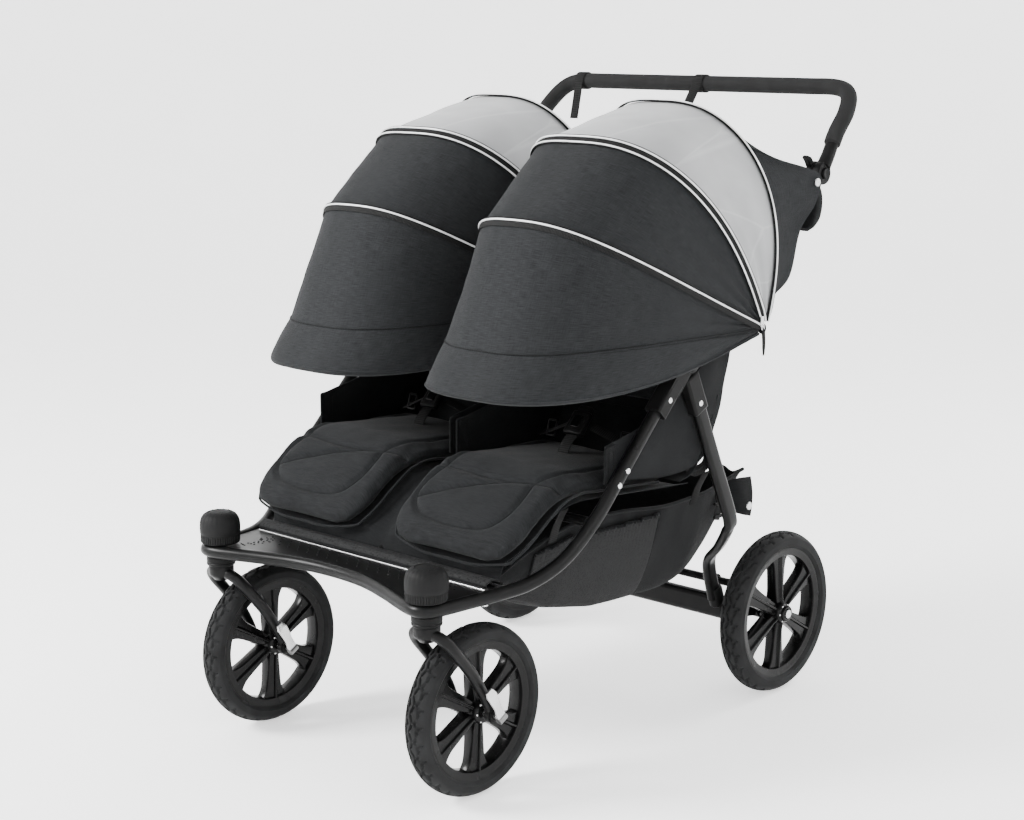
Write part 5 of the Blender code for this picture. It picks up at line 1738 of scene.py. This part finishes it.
def make_pocket(side, s):
    """The gathered mesh pocket on the basket's side, with an elastic top edge."""
    grid = []
    for k in np.linspace(0, 1, 90):
        y = -0.268 + k * 0.292
        station = [np.interp(y, [b[0] for b in BASKET], [b[j] for b in BASKET]) for j in range(1, 5)]
        section = basket_section(*station, count=201)
        side_part = section[104:] if s > 0 else section[:97][::-1]
        tall = side_part[side_part[:, 1] < station[1] - 0.010 - 0.012 * sin(pi * k)]
        tall = evenly(tall[len(tall) // 3 :], 34)
        up = np.linspace(0, 1, 34)
        bulge = 0.012 * sin(pi * k) ** 0.5 * np.sin(pi * np.clip(up, 0, 0.86) / 1.0) + 0.0035
        gather = 0.0016 * np.cos(2 * pi * 34 * k) * up**8
        x = tall[:, 0] + s * (bulge + gather)
        grid.append(np.stack([x, np.full(34, y), tall[:, 1]], 1))
    grid = np.array(grid)
    pocket = cloth(f"basket_pocket_{side}", grid, "pocket", None, 0.0014)
    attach(pocket, "chassis")
    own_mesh(pocket)
    tube(f"pocket_elastic_{side}", grid[:, -1], 0.0030, "binding", "chassis", 10)
    for name, edge in (("front", grid[0]), ("rear", grid[-1])):
        tube(f"pocket_edge_{name}_{side}", edge[1:-1], 0.0020, "binding", "chassis", 8)


def make_basket_flap(side, s):
    """The rear corner flap, folded over the crossbar strap and closed with a press stud."""
    x = s * 0.2870
    top = curve_through(
        [(x - s * 0.030, 0.225, 0.402), (x, 0.258, 0.411), (x + s * 0.001, 0.300, 0.408)], 20
    )
    low = curve_through(
        [(x - s * 0.022, 0.240, 0.360), (x + s * 0.002, 0.268, 0.344), (x + s * 0.003, 0.300, 0.334)], 20
    )
    rows = np.linspace(0, 1, 16)[:, None, None]
    grid = top[None] * (1 - rows) + low[None] * rows
    grid[:, :, 0] += s * 0.006 * np.sin(pi * rows[:, :, 0]) + ripple(grid, 26.0, 0.0030, 40.0)
    flap = cloth(f"basket_flap_{side}", grid, "basket", "chassis", 0.0026)
    snap(f"basket_snap_{side}", (x + s * 0.0085, 0.288, 0.356), (s, 0, 0), "chassis", 0.0075)
    webbing = [(x - s * 0.008, 0.215, 0.395), (x + s * 0.002, 0.206, 0.372), (x + s * 0.000, 0.200, 0.345)]
    strap(f"basket_strap_{side}", curve_through(webbing, 20), 0.020, "webbing", "chassis", face=(s, 0, 0))
    for i, z in enumerate((0.376, 0.352)):
        bar = [(x + s * 0.0035, 0.190, z), (x + s * 0.0045, 0.202, z), (x + s * 0.0035, 0.216, z)]
        tube(f"basket_clip{i}_{side}", curve_through(bar, 12), 0.0030, "plastic", "chassis", 10)


# --- CAD nodes that stay -------------------------------------------------------------------------
KEPT = {
    "seat_rail_frame": "frame",
    "frame_hinge": "plastic",
    "rear_crossbar": "frame",
    "brake_pedal": "frame",
    "front_axle": "steel",
    "suspension_arm": "plastic",
    "wheel_release_button": "steel",
}


def dress_cad():
    """Gives the CAD nodes that stay in view their looks and slightly rounded edges."""
    for name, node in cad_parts.items():
        look = next((value for key, value in KEPT.items() if name.startswith(key)), "plastic")
        if node.data.materials:
            node.material_slots[0].material = LOOKS[look]
        else:
            node.data.materials.append(LOOKS[look])
        if not node.hide_render:
            weld = node.modifiers.new("weld", "WELD")
            weld.merge_threshold = 0.00002
            soften(node, 0.0007, 2)


def main():
    make_studio()
    for side, s in SIDES:
        make_hood(side, s)
        make_caster(side, s)
        make_rear(side, s)
        make_upper(side, s)
        make_wheel(f"rear_{side}", (s * REAR_WHEEL_X, *REAR_WHEEL), REAR_WHEEL_R, f"rear_wheel_{side}", s)
        make_back_frame(side, s)
        make_hood_back(side, s)
    make_front_frame()
    make_brake()
    make_handle()
    make_seat_pads()
    make_back_pads()
    make_seat_shell()
    make_harness()
    make_basket()
    dress_cad()


main()
